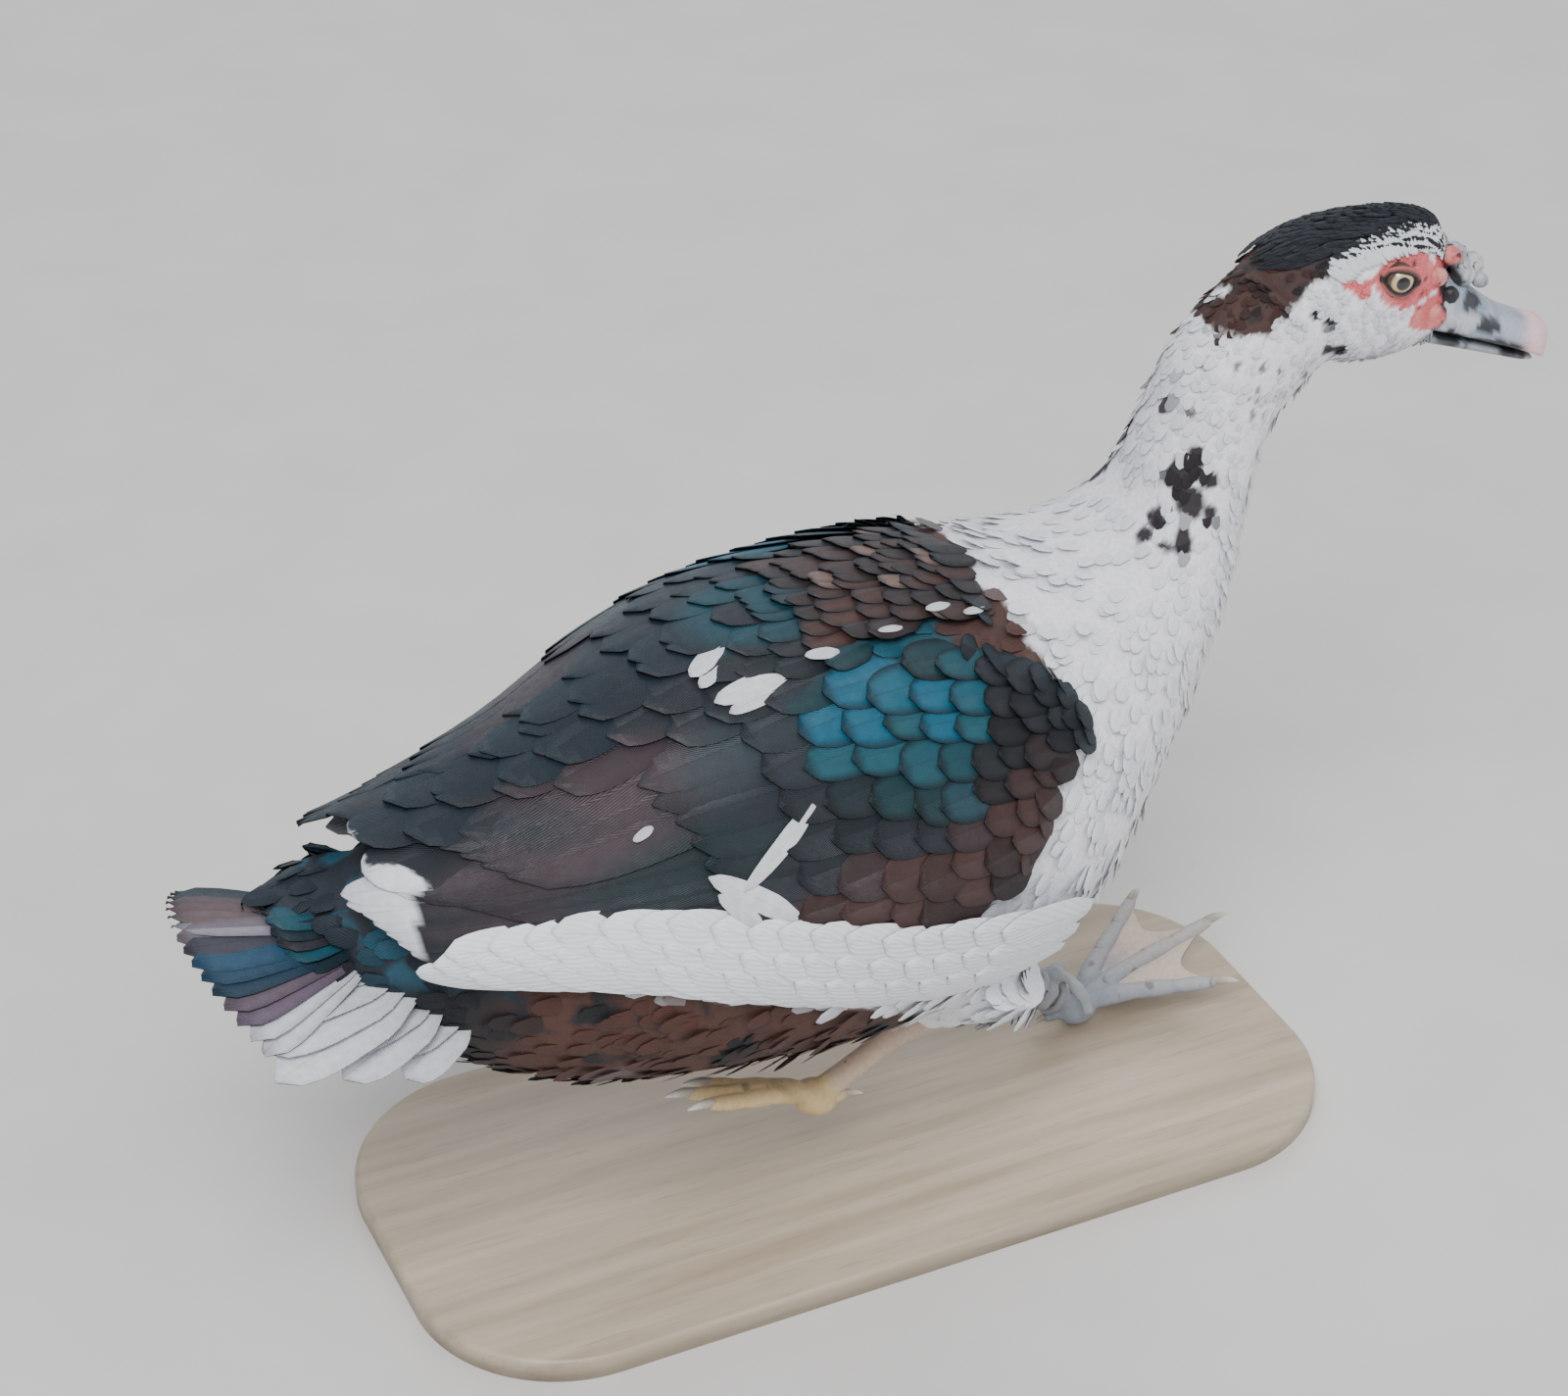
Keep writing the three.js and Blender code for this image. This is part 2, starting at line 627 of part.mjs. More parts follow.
for (const side of ["left", "right"]) {
  const { knee, hock, ball } = LEGS[side];
  const [kneeAt, hockAt, ballAt] = [knee, hock, ball].map(onGround);
  const shankPath = [0, 0.12, 0.5, 0.88, 1].map((t) => hockAt.clone().lerp(ballAt, t));
  const shankRadii = [6.6, 6.4, 5, 5.2, 5];
  const ankle = solid(new THREE.SphereGeometry(5 + GAP, 14, 8)).translate(ballAt.toArray());
  const shankRoom = solid(limb(shankPath, shankRadii.map((r) => r + GAP), 14)).add(ankle);
  node("shank_" + side, solid(limb(shankPath, shankRadii, 14)).subtract(trunkRoom), "foot");

  const thighPath = [0, 0.3, 0.6, 0.85, 1.08].map((t) => kneeAt.clone().lerp(hockAt, t));
  const thigh = solid(limb(thighPath, [30, 28, 20, 13, 9.5], 12));
  node("thigh_" + side, thigh.subtract(trunkRoom).subtract(shankRoom), "white");

  const place = footPose(side);
  const names = ["inner", "middle", "outer", "hind"];
  const paths = Object.fromEntries(names.map((name) => [name, toePath(side, name)]));
  const pieces = [solid(new THREE.SphereGeometry(8.6, 12, 7)).scale([1.1, 1, 0.86])];
  pieces.push(web(paths.inner, paths.middle), web(paths.middle, paths.outer));
  const clawRoom = [];
  for (const name of names) {
    const path = paths[name];
    const tip = name === "hind" ? 2.8 : 3.1;
    const radii = path.map((_, i) => mix(TOES.radius, tip, i / (path.length - 1)));
    pieces.push(solid(limb(path, radii, 6, 0.85)));
    const end = path[path.length - 1];
    const aim = end.clone().sub(path[path.length - 2]).normalize();
    const size = name === "hind" ? 0.7 : 1;
    const claw = [-1.5, 2.5, 6.5, 10].map((d, i) =>
      end.clone().addScaledVector(aim, d * size).add(V(0, 0, (0.6 - 0.28 * i * i) * size)),
    );
    const thin = [2, 2, 1.4, 0.45].map((r) => r * size);
    clawRoom.push(solid(limb(claw.slice(0, 3), [0, 1, 2].map((i) => thin[i] + GAP), 6)));
    node(`claw_${side}_${name}`, solid(limb(claw, thin, 6).applyMatrix4(place)), "claw");
  }
  let foot = join(pieces).subtract(join(clawRoom)).transform([...place.elements]).subtract(shankRoom);
  if (side === "left") foot = foot.trimByPlane([0, 0, 1], GROUND);
  node("foot_" + side, foot, "foot");
}

// Rag tied round the left ankle: a band, a knot in front and two ends
{
  const { hock, ball } = LEGS.left;
  const [top, foot] = [hock, ball].map(onGround);
  const up = top.clone().sub(foot).normalize();
  const ahead = V(0, 1, 0).cross(up).normalize();
  const band = limb([13, 15, 20, 25, 27].map((d) => foot.clone().addScaledVector(up, d)), [6.4, 8, 8.4, 8, 6.4], 10);
  const knotAt = foot.clone().addScaledVector(up, 20).addScaledVector(ahead, 8.5);
  const knot = solid(new THREE.SphereGeometry(6, 8, 6)).scale([1, 1.2, 0.9]).translate(knotAt.toArray());
  const ends = [-1, 1].map((s) =>
    solid(limb([V(0, 0, 0), V(5, s * 5, -1), V(8, s * 12, -7), V(8, s * 17, -13)].map((p) => p.add(knotAt)), [3.5, 3.6, 3, 1.8], 6)),
  );
  const shankRoom = solid(limb([top, foot], [5.7, 5.7], 10));
  node("leg_tie", join([solid(band), knot, ...ends]).subtract(shankRoom), "rag");
}

// Base
const outline = new THREE.Shape();
const [hx, hy, r] = [BASE.length / 2, BASE.width / 2, BASE.corner];
outline.moveTo(-hx + r, -hy);
outline.lineTo(hx - r, -hy);
outline.absarc(hx - r, -hy + r, r, -Math.PI / 2, 0, false);
outline.lineTo(hx, hy - r);
outline.absarc(hx - r, hy - r, r, 0, Math.PI / 2, false);
outline.lineTo(-hx + r, hy);
outline.absarc(-hx + r, hy - r, r, Math.PI / 2, Math.PI, false);
outline.lineTo(-hx, -hy + r);
outline.absarc(-hx + r, -hy + r, r, Math.PI, 1.5 * Math.PI, false);
const plate = new THREE.ExtrudeGeometry(outline, {
  depth: BASE.height - BASE.bevel,
  bevelEnabled: true,
  bevelSize: BASE.bevel,
  bevelThickness: BASE.bevel,
  bevelOffset: -BASE.bevel,
  bevelSegments: 1,
  curveSegments: 5,
});
node("stand_base", solid(plate).trimByPlane([0, 0, 1], 0), "base");

const duck = new THREE.Group();
duck.add(...meshes);
export default duck;
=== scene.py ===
# A muscovy duck in mid stride on a plain base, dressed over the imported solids.
# Sizes are millimetres in the frame of the solids, and become metres in make_mesh.
import itertools
import math

import bmesh
import bpy
import numpy as np
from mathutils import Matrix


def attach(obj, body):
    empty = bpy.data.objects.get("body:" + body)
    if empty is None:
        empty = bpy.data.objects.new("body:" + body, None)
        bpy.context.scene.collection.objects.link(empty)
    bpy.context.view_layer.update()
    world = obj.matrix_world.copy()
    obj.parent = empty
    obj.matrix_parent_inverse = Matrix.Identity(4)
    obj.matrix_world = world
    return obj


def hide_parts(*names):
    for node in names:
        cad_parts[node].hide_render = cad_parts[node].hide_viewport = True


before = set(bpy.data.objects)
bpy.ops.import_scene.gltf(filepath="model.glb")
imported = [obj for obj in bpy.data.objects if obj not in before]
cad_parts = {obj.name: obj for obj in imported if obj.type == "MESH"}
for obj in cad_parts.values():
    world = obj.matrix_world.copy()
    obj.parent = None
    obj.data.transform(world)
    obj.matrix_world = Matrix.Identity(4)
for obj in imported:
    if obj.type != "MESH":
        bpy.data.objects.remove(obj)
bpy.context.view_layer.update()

MM = 0.001
GROUND = 10.3
COAT = 1.6
rng = np.random.default_rng(7)

# Trunk and neck from the tail root forward: back line x, z, belly line x, z, half width
BODY = np.array([
    [-214, 184, -206, 138, 20],
    [-186, 197, -176, 108, 40],
    [-140, 216, -132, 87, 61],
    [-95, 233, -90, 77, 81],
    [-50, 245, -48, 72, 94],
    [0, 251, -5, 71, 96],
    [45, 251, 38, 77, 90],
    [76, 249, 75, 100, 79],
    [94, 250, 102, 134, 66],
    [106, 255, 130, 174, 52],
    [115, 265, 151, 211, 39],
    [119, 281, 163, 241, 29],
    [125, 298, 169, 264, 24.5],
    [132, 315, 176, 281, 22.5],
    [145, 332, 188, 294, 21.5],
    [163, 347, 201, 303, 20],
])

# Head sections in its own frame: x, half width, up and down from the mouth line
SKULL = np.array([
    [-44, 3, 6, 2],
    [-42, 10, 13, 7],
    [-35, 15.5, 21, 14],
    [-24, 19, 29, 20],
    [-10, 21.5, 35, 23],
    [4, 22, 39, 23.5],
    [16, 20.5, 41, 21.5],
    [26, 17.5, 39, 18],
    [33, 14.5, 31, 14],
    [39, 12.5, 20, 9.5],
])
HEAD_AT = (203, -1, 323)
HEAD_YAW, HEAD_PITCH = -12, 14
EYE = (12, 15.6, 19)
EYE_RADIUS = 6.2

# Bill sections: x, half width, upper edge, lower edge
UPPER_BILL = np.array([
    [37, 12.4, 18, -4.2],
    [39.3, 12.3, 17.5, -4.2],
    [46, 12.2, 15.5, -4.6],
    [55, 11.8, 11.5, -5.3],
    [65, 11.7, 7.6, -6],
    [75, 12.2, 5.5, -6.8],
    [82, 11.4, 5, -8],
    [87, 8, 2.5, -9.8],
    [89.3, 3, -2, -9.8],
])
LOWER_BILL = np.array([
    [37, 10.8, -4.5, -9.4],
    [39.3, 10.8, -4.6, -9.6],
    [50, 10.4, -5.4, -10],
    [65, 10.2, -6.5, -10.6],
    [77, 9.6, -7.6, -11.2],
    [84, 6, -9.3, -11.6],
])

# Envelope of the folded wing: x, half width, rise and height of its middle
WING = np.array([
    [100, 70, 74, 166],
    [70, 90, 84, 166],
    [35, 98, 88, 165],
    [0, 100.6, 90, 164],
    [-45, 99.4, 85, 164],
    [-90, 88, 73, 166],
    [-135, 69, 53, 170],
    [-180, 53, 32, 176],
    [-220, 38, 18, 183],
    [-262, 26, 9, 189],
])

TAIL_ROOT, TAIL_LIFT, TAIL_ROLL, TAIL_FAN = (-188, -14, 166), 13, 7, 36

LEGS = {
    "left": dict(knee=(36, 44, 112), hock=(64, 16, 46), ball=(114, 12, 8.5)),
    "right": dict(knee=(36, -58, 112), hock=(10, -46, 80), ball=(-33, -42, 51)),
}
FEET = {
    "left": dict(yaw=10, pitch=11, spread=30, curl=0, reach=1),
    "right": dict(yaw=183, pitch=20, spread=8, curl=3, reach=0.8),
}
TOES = dict(inner=59, middle=73, outer=67, hind=15)
TIE_RADIUS = 6.9
BASE_LENGTH, BASE_WIDTH, BASE_CORNER = 390, 180, 60

# Colours in linear light
WHITE = (0.80, 0.82, 0.87)
CREAM = (0.80, 0.77, 0.70)
BLACK = (0.012, 0.012, 0.015)
BROWN = (0.070, 0.034, 0.028)
RUST = (0.075, 0.03, 0.022)
TEAL = (0.010, 0.075, 0.11)
# Brighter blue used for painted highlights on the wing's teal
HIGHLIGHT_BLUE = (0.009, 0.105, 0.175)
SLATE = (0.018, 0.026, 0.038)
PLUM = (0.060, 0.038, 0.046)
RED = (0.80, 0.16, 0.17)
GREY_TOE = (0.36, 0.40, 0.47)


def smooth(x, low, high):
    t = np.clip((x - low) / (high - low), 0, 1)
    return t * t * (3 - 2 * t)


def blend(a, b, f):
    f = np.asarray(f)[..., None]
    return np.asarray(a) * (1 - f) + np.asarray(b) * f


def unit(v):
    return v / np.maximum(np.linalg.norm(v, axis=-1, keepdims=True), 1e-9)


def ripple(p, scale, seed=0):
    """A smooth uneven value from about -1 to 1 over space"""
    q = np.asarray(p) / scale + seed * 1.7
    a = np.sin(q[..., 0] + 1.3 * np.sin(q[..., 1] * 1.1 + seed))
    b = np.sin(q[..., 1] * 1.3 + 1.1 * np.sin(q[..., 2] * 0.9 + 2 * seed))
    c = np.sin(q[..., 2] * 1.2 + 1.2 * np.sin(q[..., 0] * 1.15 + 3 * seed))
    return (a + b + c) / 3 + 0.4 * np.sin(2.3 * (a + b * c) + q[..., 0] * 1.9)


def along(rows, t):
    """Uniform Catmull-Rom through rows, at fractional rows t"""
    t = np.clip(np.asarray(t, float), 0, len(rows) - 1)
    i = np.minimum(np.floor(t).astype(int), len(rows) - 2)
    f = (t - i)[..., None]
    a, b, d, e = [rows[np.clip(i + k, 0, len(rows) - 1)] for k in (-1, 0, 1, 2)]
    return b + 0.5 * f * (d - a + f * (2 * a - 5 * b + 4 * d - e + f * (3 * (b - d) + e - a)))


def oval(q, power):
    c, s = np.cos(q), np.sin(q)
    return np.sign(c) * abs(c) ** (2 / power), np.sign(s) * abs(s) ** (2 / power)


def sway(x):
    """How far the rear swings to the right in the stride"""
    return -14 * smooth(-np.asarray(x, float), 40, 150)


def body_point(t, q, grow=0.0):
    row = along(BODY, t)
    top, low = row[..., 0:2], row[..., 2:4]
    rise = top - low
    reach = np.linalg.norm(rise, axis=-1) / 2
    rise = unit(rise)
    c, s = oval(q, 2.15)
    middle = (top + low) / 2
    x = middle[..., 0] + s * (reach + grow) * rise[..., 0]
    z = middle[..., 1] + s * (reach + grow) * rise[..., 1] + GROUND
    return np.stack([x, sway(middle[..., 0]) + c * (row[..., 4] + grow), z], -1)


def turn(yaw, pitch):
    a, b = math.radians(yaw), math.radians(pitch)
    about_z = np.array([[math.cos(a), -math.sin(a), 0], [math.sin(a), math.cos(a), 0], [0, 0, 1]])
    about_y = np.array([[math.cos(b), 0, math.sin(b)], [0, 1, 0], [-math.sin(b), 0, math.cos(b)]])
    return about_z @ about_y


HEAD_TURN = turn(HEAD_YAW, HEAD_PITCH)
HEAD_SPOT = np.array(HEAD_AT) + [0, 0, GROUND]


def from_head(p):
    return np.asarray(p, float) @ HEAD_TURN.T + HEAD_SPOT


def to_head(p):
    return (np.asarray(p, float) - HEAD_SPOT) @ HEAD_TURN


def skull_point(t, q):
    row = along(SKULL, t)
    c, s = oval(q, 2.1)
    z = np.where(s > 0, s * row[..., 2], s * row[..., 3])
    return from_head(np.stack([row[..., 0], c * row[..., 1], z], -1))


def wing_row(x):
    i = np.interp(-np.asarray(x, float), -WING[:, 0], np.arange(len(WING)))
    return along(WING, i)


def wing_point(side, x, angle, height):
    row = wing_row(x)
    a = np.radians(angle)
    y = sway(x) + side * (row[..., 1] + height) * np.sin(a)
    z = row[..., 3] + GROUND + (row[..., 2] + height) * np.cos(a)
    return np.stack([np.broadcast_to(x, y.shape), y, z], -1)


def make_mesh(name, points, faces):
    mesh = bpy.data.meshes.new(name)
    mesh.from_pydata((np.asarray(points, float) * MM).tolist(), [], [list(map(int, f)) for f in faces])
    mesh.validate()
    piece = bpy.data.objects.new(name, mesh)
    bpy.context.collection.objects.link(piece)
    shade_smooth(mesh)
    return piece


def shade_smooth(mesh):
    mesh.polygons.foreach_set("use_smooth", np.ones(len(mesh.polygons), bool))


def solid_mesh(name, points, faces):
    """A closed mesh with its faces turned out"""
    piece = make_mesh(name, points, faces)
    face_out(piece)
    return piece


def quad_mesh(name, points, quads):
    """A mesh of quads from arrays, for the many feathers"""
    mesh = bpy.data.meshes.new(name)
    mesh.vertices.add(len(points))
    mesh.vertices.foreach_set("co", (points * MM).astype(np.float32).ravel())
    mesh.loops.add(len(quads) * 4)
    mesh.loops.foreach_set("vertex_index", quads.astype(np.int32).ravel())
    mesh.polygons.add(len(quads))
    mesh.polygons.foreach_set("loop_start", np.arange(0, 4 * len(quads), 4, dtype=np.int32))
    mesh.polygons.foreach_set("use_smooth", np.ones(len(quads), bool))
    mesh.update(calc_edges=True)
    piece = bpy.data.objects.new(name, mesh)
    bpy.context.collection.objects.link(piece)
    return piece


def closed_loft(rings):
    """Points and faces of a closed skin over rings of points"""
    rows, columns = len(rings), len(rings[0])
    points = np.concatenate([np.concatenate(rings), [rings[0].mean(0)], [rings[-1].mean(0)]])
    faces = []
    for i in range(rows - 1):
        for j in range(columns):
            k = (j + 1) % columns
            faces.append([i * columns + j, i * columns + k, (i + 1) * columns + k, (i + 1) * columns + j])
    for j in range(columns):
        k = (j + 1) % columns
        faces.append([rows * columns, k, j])
        faces.append([rows * columns + 1, (rows - 1) * columns + j, (rows - 1) * columns + k])
    return points, faces


def limb(points, radii, columns=20, flatten=1.0):
    points = np.array(points, float)
    rings = []
    for i, p in enumerate(points):
        forward = unit(points[min(i + 1, len(points) - 1)] - points[max(i - 1, 0)])
        side = np.cross([0, 0, 1], forward)
        side = np.array([0, 1, 0]) if np.linalg.norm(side) < 0.05 else unit(side)
        rise = np.cross(forward, side)
        q = np.linspace(0, 2 * np.pi, columns, endpoint=False)[:, None]
        rings.append(p + radii[i] * (np.cos(q) * side + flatten * np.sin(q) * rise))
    return closed_loft(rings)


def ball(centre, size, columns=20, rows=12):
    q = np.linspace(0, 2 * np.pi, columns, endpoint=False)
    rings = []
    for a in np.linspace(-np.pi / 2 + 0.12, np.pi / 2 - 0.12, rows):
        level = np.full(columns, math.sin(a))
        ring = np.stack([level, math.cos(a) * np.cos(q), math.cos(a) * np.sin(q)], -1)
        rings.append(ring * size + centre)
    return closed_loft(rings)


def apply_modifiers(piece):
    graph = bpy.context.evaluated_depsgraph_get()
    mesh = bpy.data.meshes.new_from_object(piece.evaluated_get(graph))
    piece.modifiers.clear()
    piece.data = mesh


def fuse(name, lofts, voxel, smoothing=6, inset=0.0):
    """One smooth closed piece from overlapping lofts"""
    points, faces, start = [], [], 0
    for p, f in lofts:
        points.append(p)
        faces += [[start + i for i in face] for face in f]
        start += len(p)
    piece = make_mesh(name, np.concatenate(points), faces)
    remesh = piece.modifiers.new("fuse", "REMESH")
    remesh.mode = "VOXEL"
    remesh.voxel_size = voxel * MM
    soften = piece.modifiers.new("soften", "SMOOTH")
    soften.iterations = smoothing
    soften.factor = 0.5
    apply_modifiers(piece)
    if inset:
        p, n = points_of(piece), normals_of(piece)
        piece.data.vertices.foreach_set("co", ((p - n * inset) * MM).astype(np.float32).ravel())
    shade_smooth(piece.data)
    piece.data.update()
    return piece


def points_of(piece):
    flat = np.empty(len(piece.data.vertices) * 3, np.float32)
    piece.data.vertices.foreach_get("co", flat)
    return flat.reshape(-1, 3).astype(float) / MM


def normals_of(piece):
    flat = np.empty(len(piece.data.vertices) * 3, np.float32)
    piece.data.vertex_normals.foreach_get("vector", flat)
    return flat.reshape(-1, 3).astype(float)


def set_points(piece, points):
    piece.data.vertices.foreach_set("co", (points * MM).astype(np.float32).ravel())
    piece.data.update()


def keep_off_ground(piece):
    p = points_of(piece)
    p[:, 2] = np.maximum(p[:, 2], GROUND)
    set_points(piece, p)


def paint(piece, colours, name="tint"):
    layer = piece.data.attributes.new(name, "FLOAT_COLOR", "POINT")
    rgba = np.ones((len(colours), 4), np.float32)
    rgba[:, :3] = colours
    layer.data.foreach_set("color", rgba.ravel())


def set_value(piece, name, values):
    layer = piece.data.attributes.new(name, "FLOAT", "POINT")
    layer.data.foreach_set("value", np.asarray(values, np.float32))


def set_uv(piece, name, uv):
    """A UV map from one place for each vertex"""
    layer = piece.data.uv_layers.new(name=name)
    index = np.empty(len(piece.data.loops), np.int32)
    piece.data.loops.foreach_get("vertex_index", index)
    layer.data.foreach_set("uv", uv[index].astype(np.float32).ravel())


# Camera at the photograph's place: behind the bird's right side and above it

CAMERA_AZIMUTH, CAMERA_ELEVATION, CAMERA_DISTANCE = -25, 33, 1300
CAMERA_TARGET = (-26.5, 0, 217.8)
PHOTO_WIDTH, FOCAL_LENGTH = 1600, 3575
SENSOR = 36


def make_camera():
    azimuth, elevation = math.radians(CAMERA_AZIMUTH), math.radians(CAMERA_ELEVATION)
    away = np.array([
        math.sin(azimuth) * math.cos(elevation),
        -math.cos(azimuth) * math.cos(elevation),
        math.sin(elevation),
    ])
    camera = bpy.data.cameras.new("camera")
    camera.sensor_width = SENSOR
    camera.lens = SENSOR * FOCAL_LENGTH / PHOTO_WIDTH
    camera.clip_start = 0.05
    camera.clip_end = 20
    holder = bpy.data.objects.new("camera", camera)
    holder.location = (np.array(CAMERA_TARGET) + away * CAMERA_DISTANCE) * MM
    holder.rotation_euler = (math.pi / 2 - elevation, 0, azimuth)
    bpy.context.collection.objects.link(holder)
    bpy.context.scene.camera = holder


# Markings, the same for the skin and the coat: places in millimetres, each with its radius

NECK_BLOTCHES = [
    (126, -6, 300, 4.2), (131, -14, 301, 3.6), (132, -22, 283, 3.2), (126, -21, 277, 4.6),
    (136, -25, 273, 3.4), (128, -26, 268, 5.6), (136, -30, 262, 3.6), (131, -27, 275, 3.4),
    (118, -20, 261, 2.8), (115, -29, 253, 3.2), (112, -22, 255, 2.8), (123, -32, 255, 3.4),
    (108, -25, 250, 2.8), (164, -13, 262, 2.6), (126, 20, 282, 6), (118, 26, 262, 5),
    (140, 26, 250, 4),
]
MANTLE_FLECKS = [(28, -31, 249, 3), (37, -48, 243, 3.4), (-32, -41, 248, 3)]
FACE_SPOTS = [(-11, -1, 3.4), (-17, 1, 3), (-2, -12.5, 3.6), (-7, -12, 2.4)]


# Lower edge of the dark cap in the head's frame: x, then height
CAP_EDGE = (
    [-66, -58, -54, -47, -40, -33, -29, -22, -15, -10, -2, 10, 28, 39],
    [-2, -9, -10, -10, -8, -2, 5, 10, 18, 26, 30, 34, 34, 30],
)
# Upper edge of the dark belly: x, then height above the ground
BELLY_EDGE = (
    [-215, -187, -165, -139, -116, -94, -64, -36, -8],
    [174, 171, 167, 164, 157, 148, 140, 129, 108],
)
# Front edge of the dark back: y, then x
BACK_EDGE = ([-90, -70, -45, -25, -8, 8, 30, 50, 70, 90], [40, 60, 52, 46, 40, 46, 52, 58, 60, 40])


def bare_face(h):
    """How much a place on the head, in its own frame, is bare skin"""
    wave = 1.2 * ripple(h, 3.2, 4)
    side = abs(h[..., 1]) > 5
    around = np.hypot((h[..., 0] - 17) / 14.5, (h[..., 2] - 18.5) / 10.5)
    behind = (abs(h[..., 2] - 14) < 4.2 * (h[..., 0] + 13) / 14) & (h[..., 0] > -12) & (h[..., 0] < 2)
    lobe = np.hypot((h[..., 0] - 31) / 9, (h[..., 2] - 4.5) / 6.6)
    parting = abs(h[..., 2] - 8.5 - 0.65 * (h[..., 0] - 22)) < 0.9
    front = (h[..., 0] > 27) & (h[..., 2] > 11) & (h[..., 2] < 29)
    bare = (around < 1 + 0.06 * wave) | behind | (lobe < 1 + 0.06 * wave) | (front & side)
    return np.where(bare & side & ~(parting & (h[..., 0] < 32)), 1.0, 0.0)


def head_tint(h):
    wave = ripple(h, 4.5, 1)
    fine = ripple(h, 1.7, 2)
    line = np.interp(h[..., 0], CAP_EDGE[0], CAP_EDGE[1])
    cap = smooth(h[..., 2] - line + 2.2 * wave + 1.6 * fine, -1.0, 1.2)
    cap = cap * smooth(h[..., 0] + 1.5 * wave, -62, -58)
    crown = smooth(h[..., 0] + 0.35 * h[..., 2] + 4 * wave + 2 * fine, -26, -6)
    dark = blend((0.050, 0.022, 0.018), BLACK, crown)
    dark = blend(dark, (0.018, 0.012, 0.012), smooth(ripple(h, 2.6, 11), 0.2, 0.9))
    tint = blend(WHITE, dark, cap)
    fleck = np.hypot((h[..., 0] + 52 + 0.6 * (4 - h[..., 2])) / 2.6, (h[..., 2] - 4) / 7) + 0.35 * fine
    tint = blend(tint, WHITE, 1 - smooth(fleck, 0.7, 1.1))
    for x, z, r in FACE_SPOTS:
        d = np.hypot(h[..., 0] - x, (h[..., 2] - z) * 1.4) + 1.2 * wave + 0.8 * fine
        tint = blend(tint, BLACK, 1 - smooth(d, r - 1.0, r + 0.8))
    speck = smooth(fine + 0.5 * wave, 0.75, 1.0) * smooth(-h[..., 2], 6, 14)
    tint = blend(tint, (0.06, 0.045, 0.045), 0.8 * speck)
    lore = np.hypot((h[..., 0] - 36.5) / 4.6, (h[..., 2] - 17) / 6) + 0.25 * fine
    red = blend(RED, (0.86, 0.30, 0.28), smooth(wave, 0, 1))
    red = blend(red, (0.10, 0.03, 0.035), smooth(ripple(h, 1.1, 6), 0.85, 1.05))
    red = blend(red, BLACK, 1 - smooth(lore, 0.8, 1.1))
    return blend(tint, red, bare_face(h))


def body_tint(p):
    """Colour of the trunk and neck at places above the ground"""
    x, y, z = p[..., 0], p[..., 1], p[..., 2]
    wave = ripple(p, 9, 3)
    fine = ripple(p, 3.5, 5)
    tint = blend(WHITE, CREAM, 0.5 * smooth(x, 90, 150) * smooth(-z, -230, -150))
    for bx, by, bz, r in NECK_BLOTCHES:
        d = np.sqrt((x - bx) ** 2 + (y - by) ** 2 + (z - bz) ** 2) + 2.4 * fine + 1.5 * wave
        tint = blend(tint, (0.022, 0.018, 0.022), 1 - smooth(d, 1.3 * r - 0.8, 1.3 * r + 1.2))
    line = np.interp(x, BELLY_EDGE[0], BELLY_EDGE[1])
    belly = smooth(line - z + 2.0 * wave, -1.5, 1.5) * smooth(-x + 4 * wave, 8, 14)
    under = blend(RUST, BLACK, smooth(wave + 0.6 * fine, 0.3, 1.0))
    under = blend(under, BLACK, smooth(-x + 6 * wave, 148, 172))
    under = blend(under, (0.16, 0.12, 0.13), smooth(ripple(p, 12, 8) - abs(x + 138) / 60, 0.2, 0.7))
    tint = blend(tint, under, belly)
    edge = np.interp(y, BACK_EDGE[0], BACK_EDGE[1])
    back = smooth(edge - x + 4 * wave + 3 * fine, -2, 2) * smooth(z, 208, 218)
    cloak = blend(BROWN, (0.05, 0.028, 0.024), smooth(fine, 0, 0.8))
    cloak = blend(cloak, TEAL, smooth(24 - x + 6 * wave, 0, 10))
    cloak = blend(cloak, SLATE, smooth(-x + 12 * wave, 60, 110))
    tint = blend(tint, cloak, back)
    rump = smooth(-x, 150, 165) * smooth(z, 150, 166)
    teal = blend((0.012, 0.02, 0.03), (0.012, 0.075, 0.12), smooth(wave + 0.5 * fine, 0.0, 0.8))
    tint = blend(tint, teal, rump)
    for bx, by, bz, r in MANTLE_FLECKS:
        d = np.sqrt((x - bx) ** 2 + (y - by) ** 2 + (z - bz) ** 2)
        tint = blend(tint, WHITE, 1 - smooth(d, r - 0.5, r + 0.5))
    return tint


def head_share(h, low, high):
    """1 on the head and 0 on the neck and trunk, for places in the head's own frame"""
    return smooth(h[..., 0], low, high) * smooth(h[..., 2], -46, -36)


def coat_tint(points):
    """Colour of skin and small feathers at places in the frame"""
    h = to_head(points)
    return blend(body_tint(points - [0, 0, GROUND]), head_tint(h), head_share(h, -66, -62))


def wing_flat(x, angle):
    """Places on the wing as millimetres along it and round it from the top"""
    row = wing_row(x)
    return np.stack([x, angle * np.radians((row[..., 1] + row[..., 2]) / 2), np.zeros_like(x)], -1)


def wing_front(angle):
    """Where the folded wing's front edge lies at an angle from the top"""
    angles = [18, 24, 28, 34, 44, 54, 60, 63, 76, 85, 90]
    return np.interp(angle, angles, [4, 14, 26, 45, 60, 66, 56, 46, 36, 23, -4])


def patch(x, angle, cx, ca, rx, ra, wave, soft=0.25):
    """1 inside an uneven oval on the wing"""
    d = np.hypot((x - cx) / rx, (angle - ca) / ra) + 0.14 * wave
    return 1 - smooth(d, 1 - soft, 1 + soft)


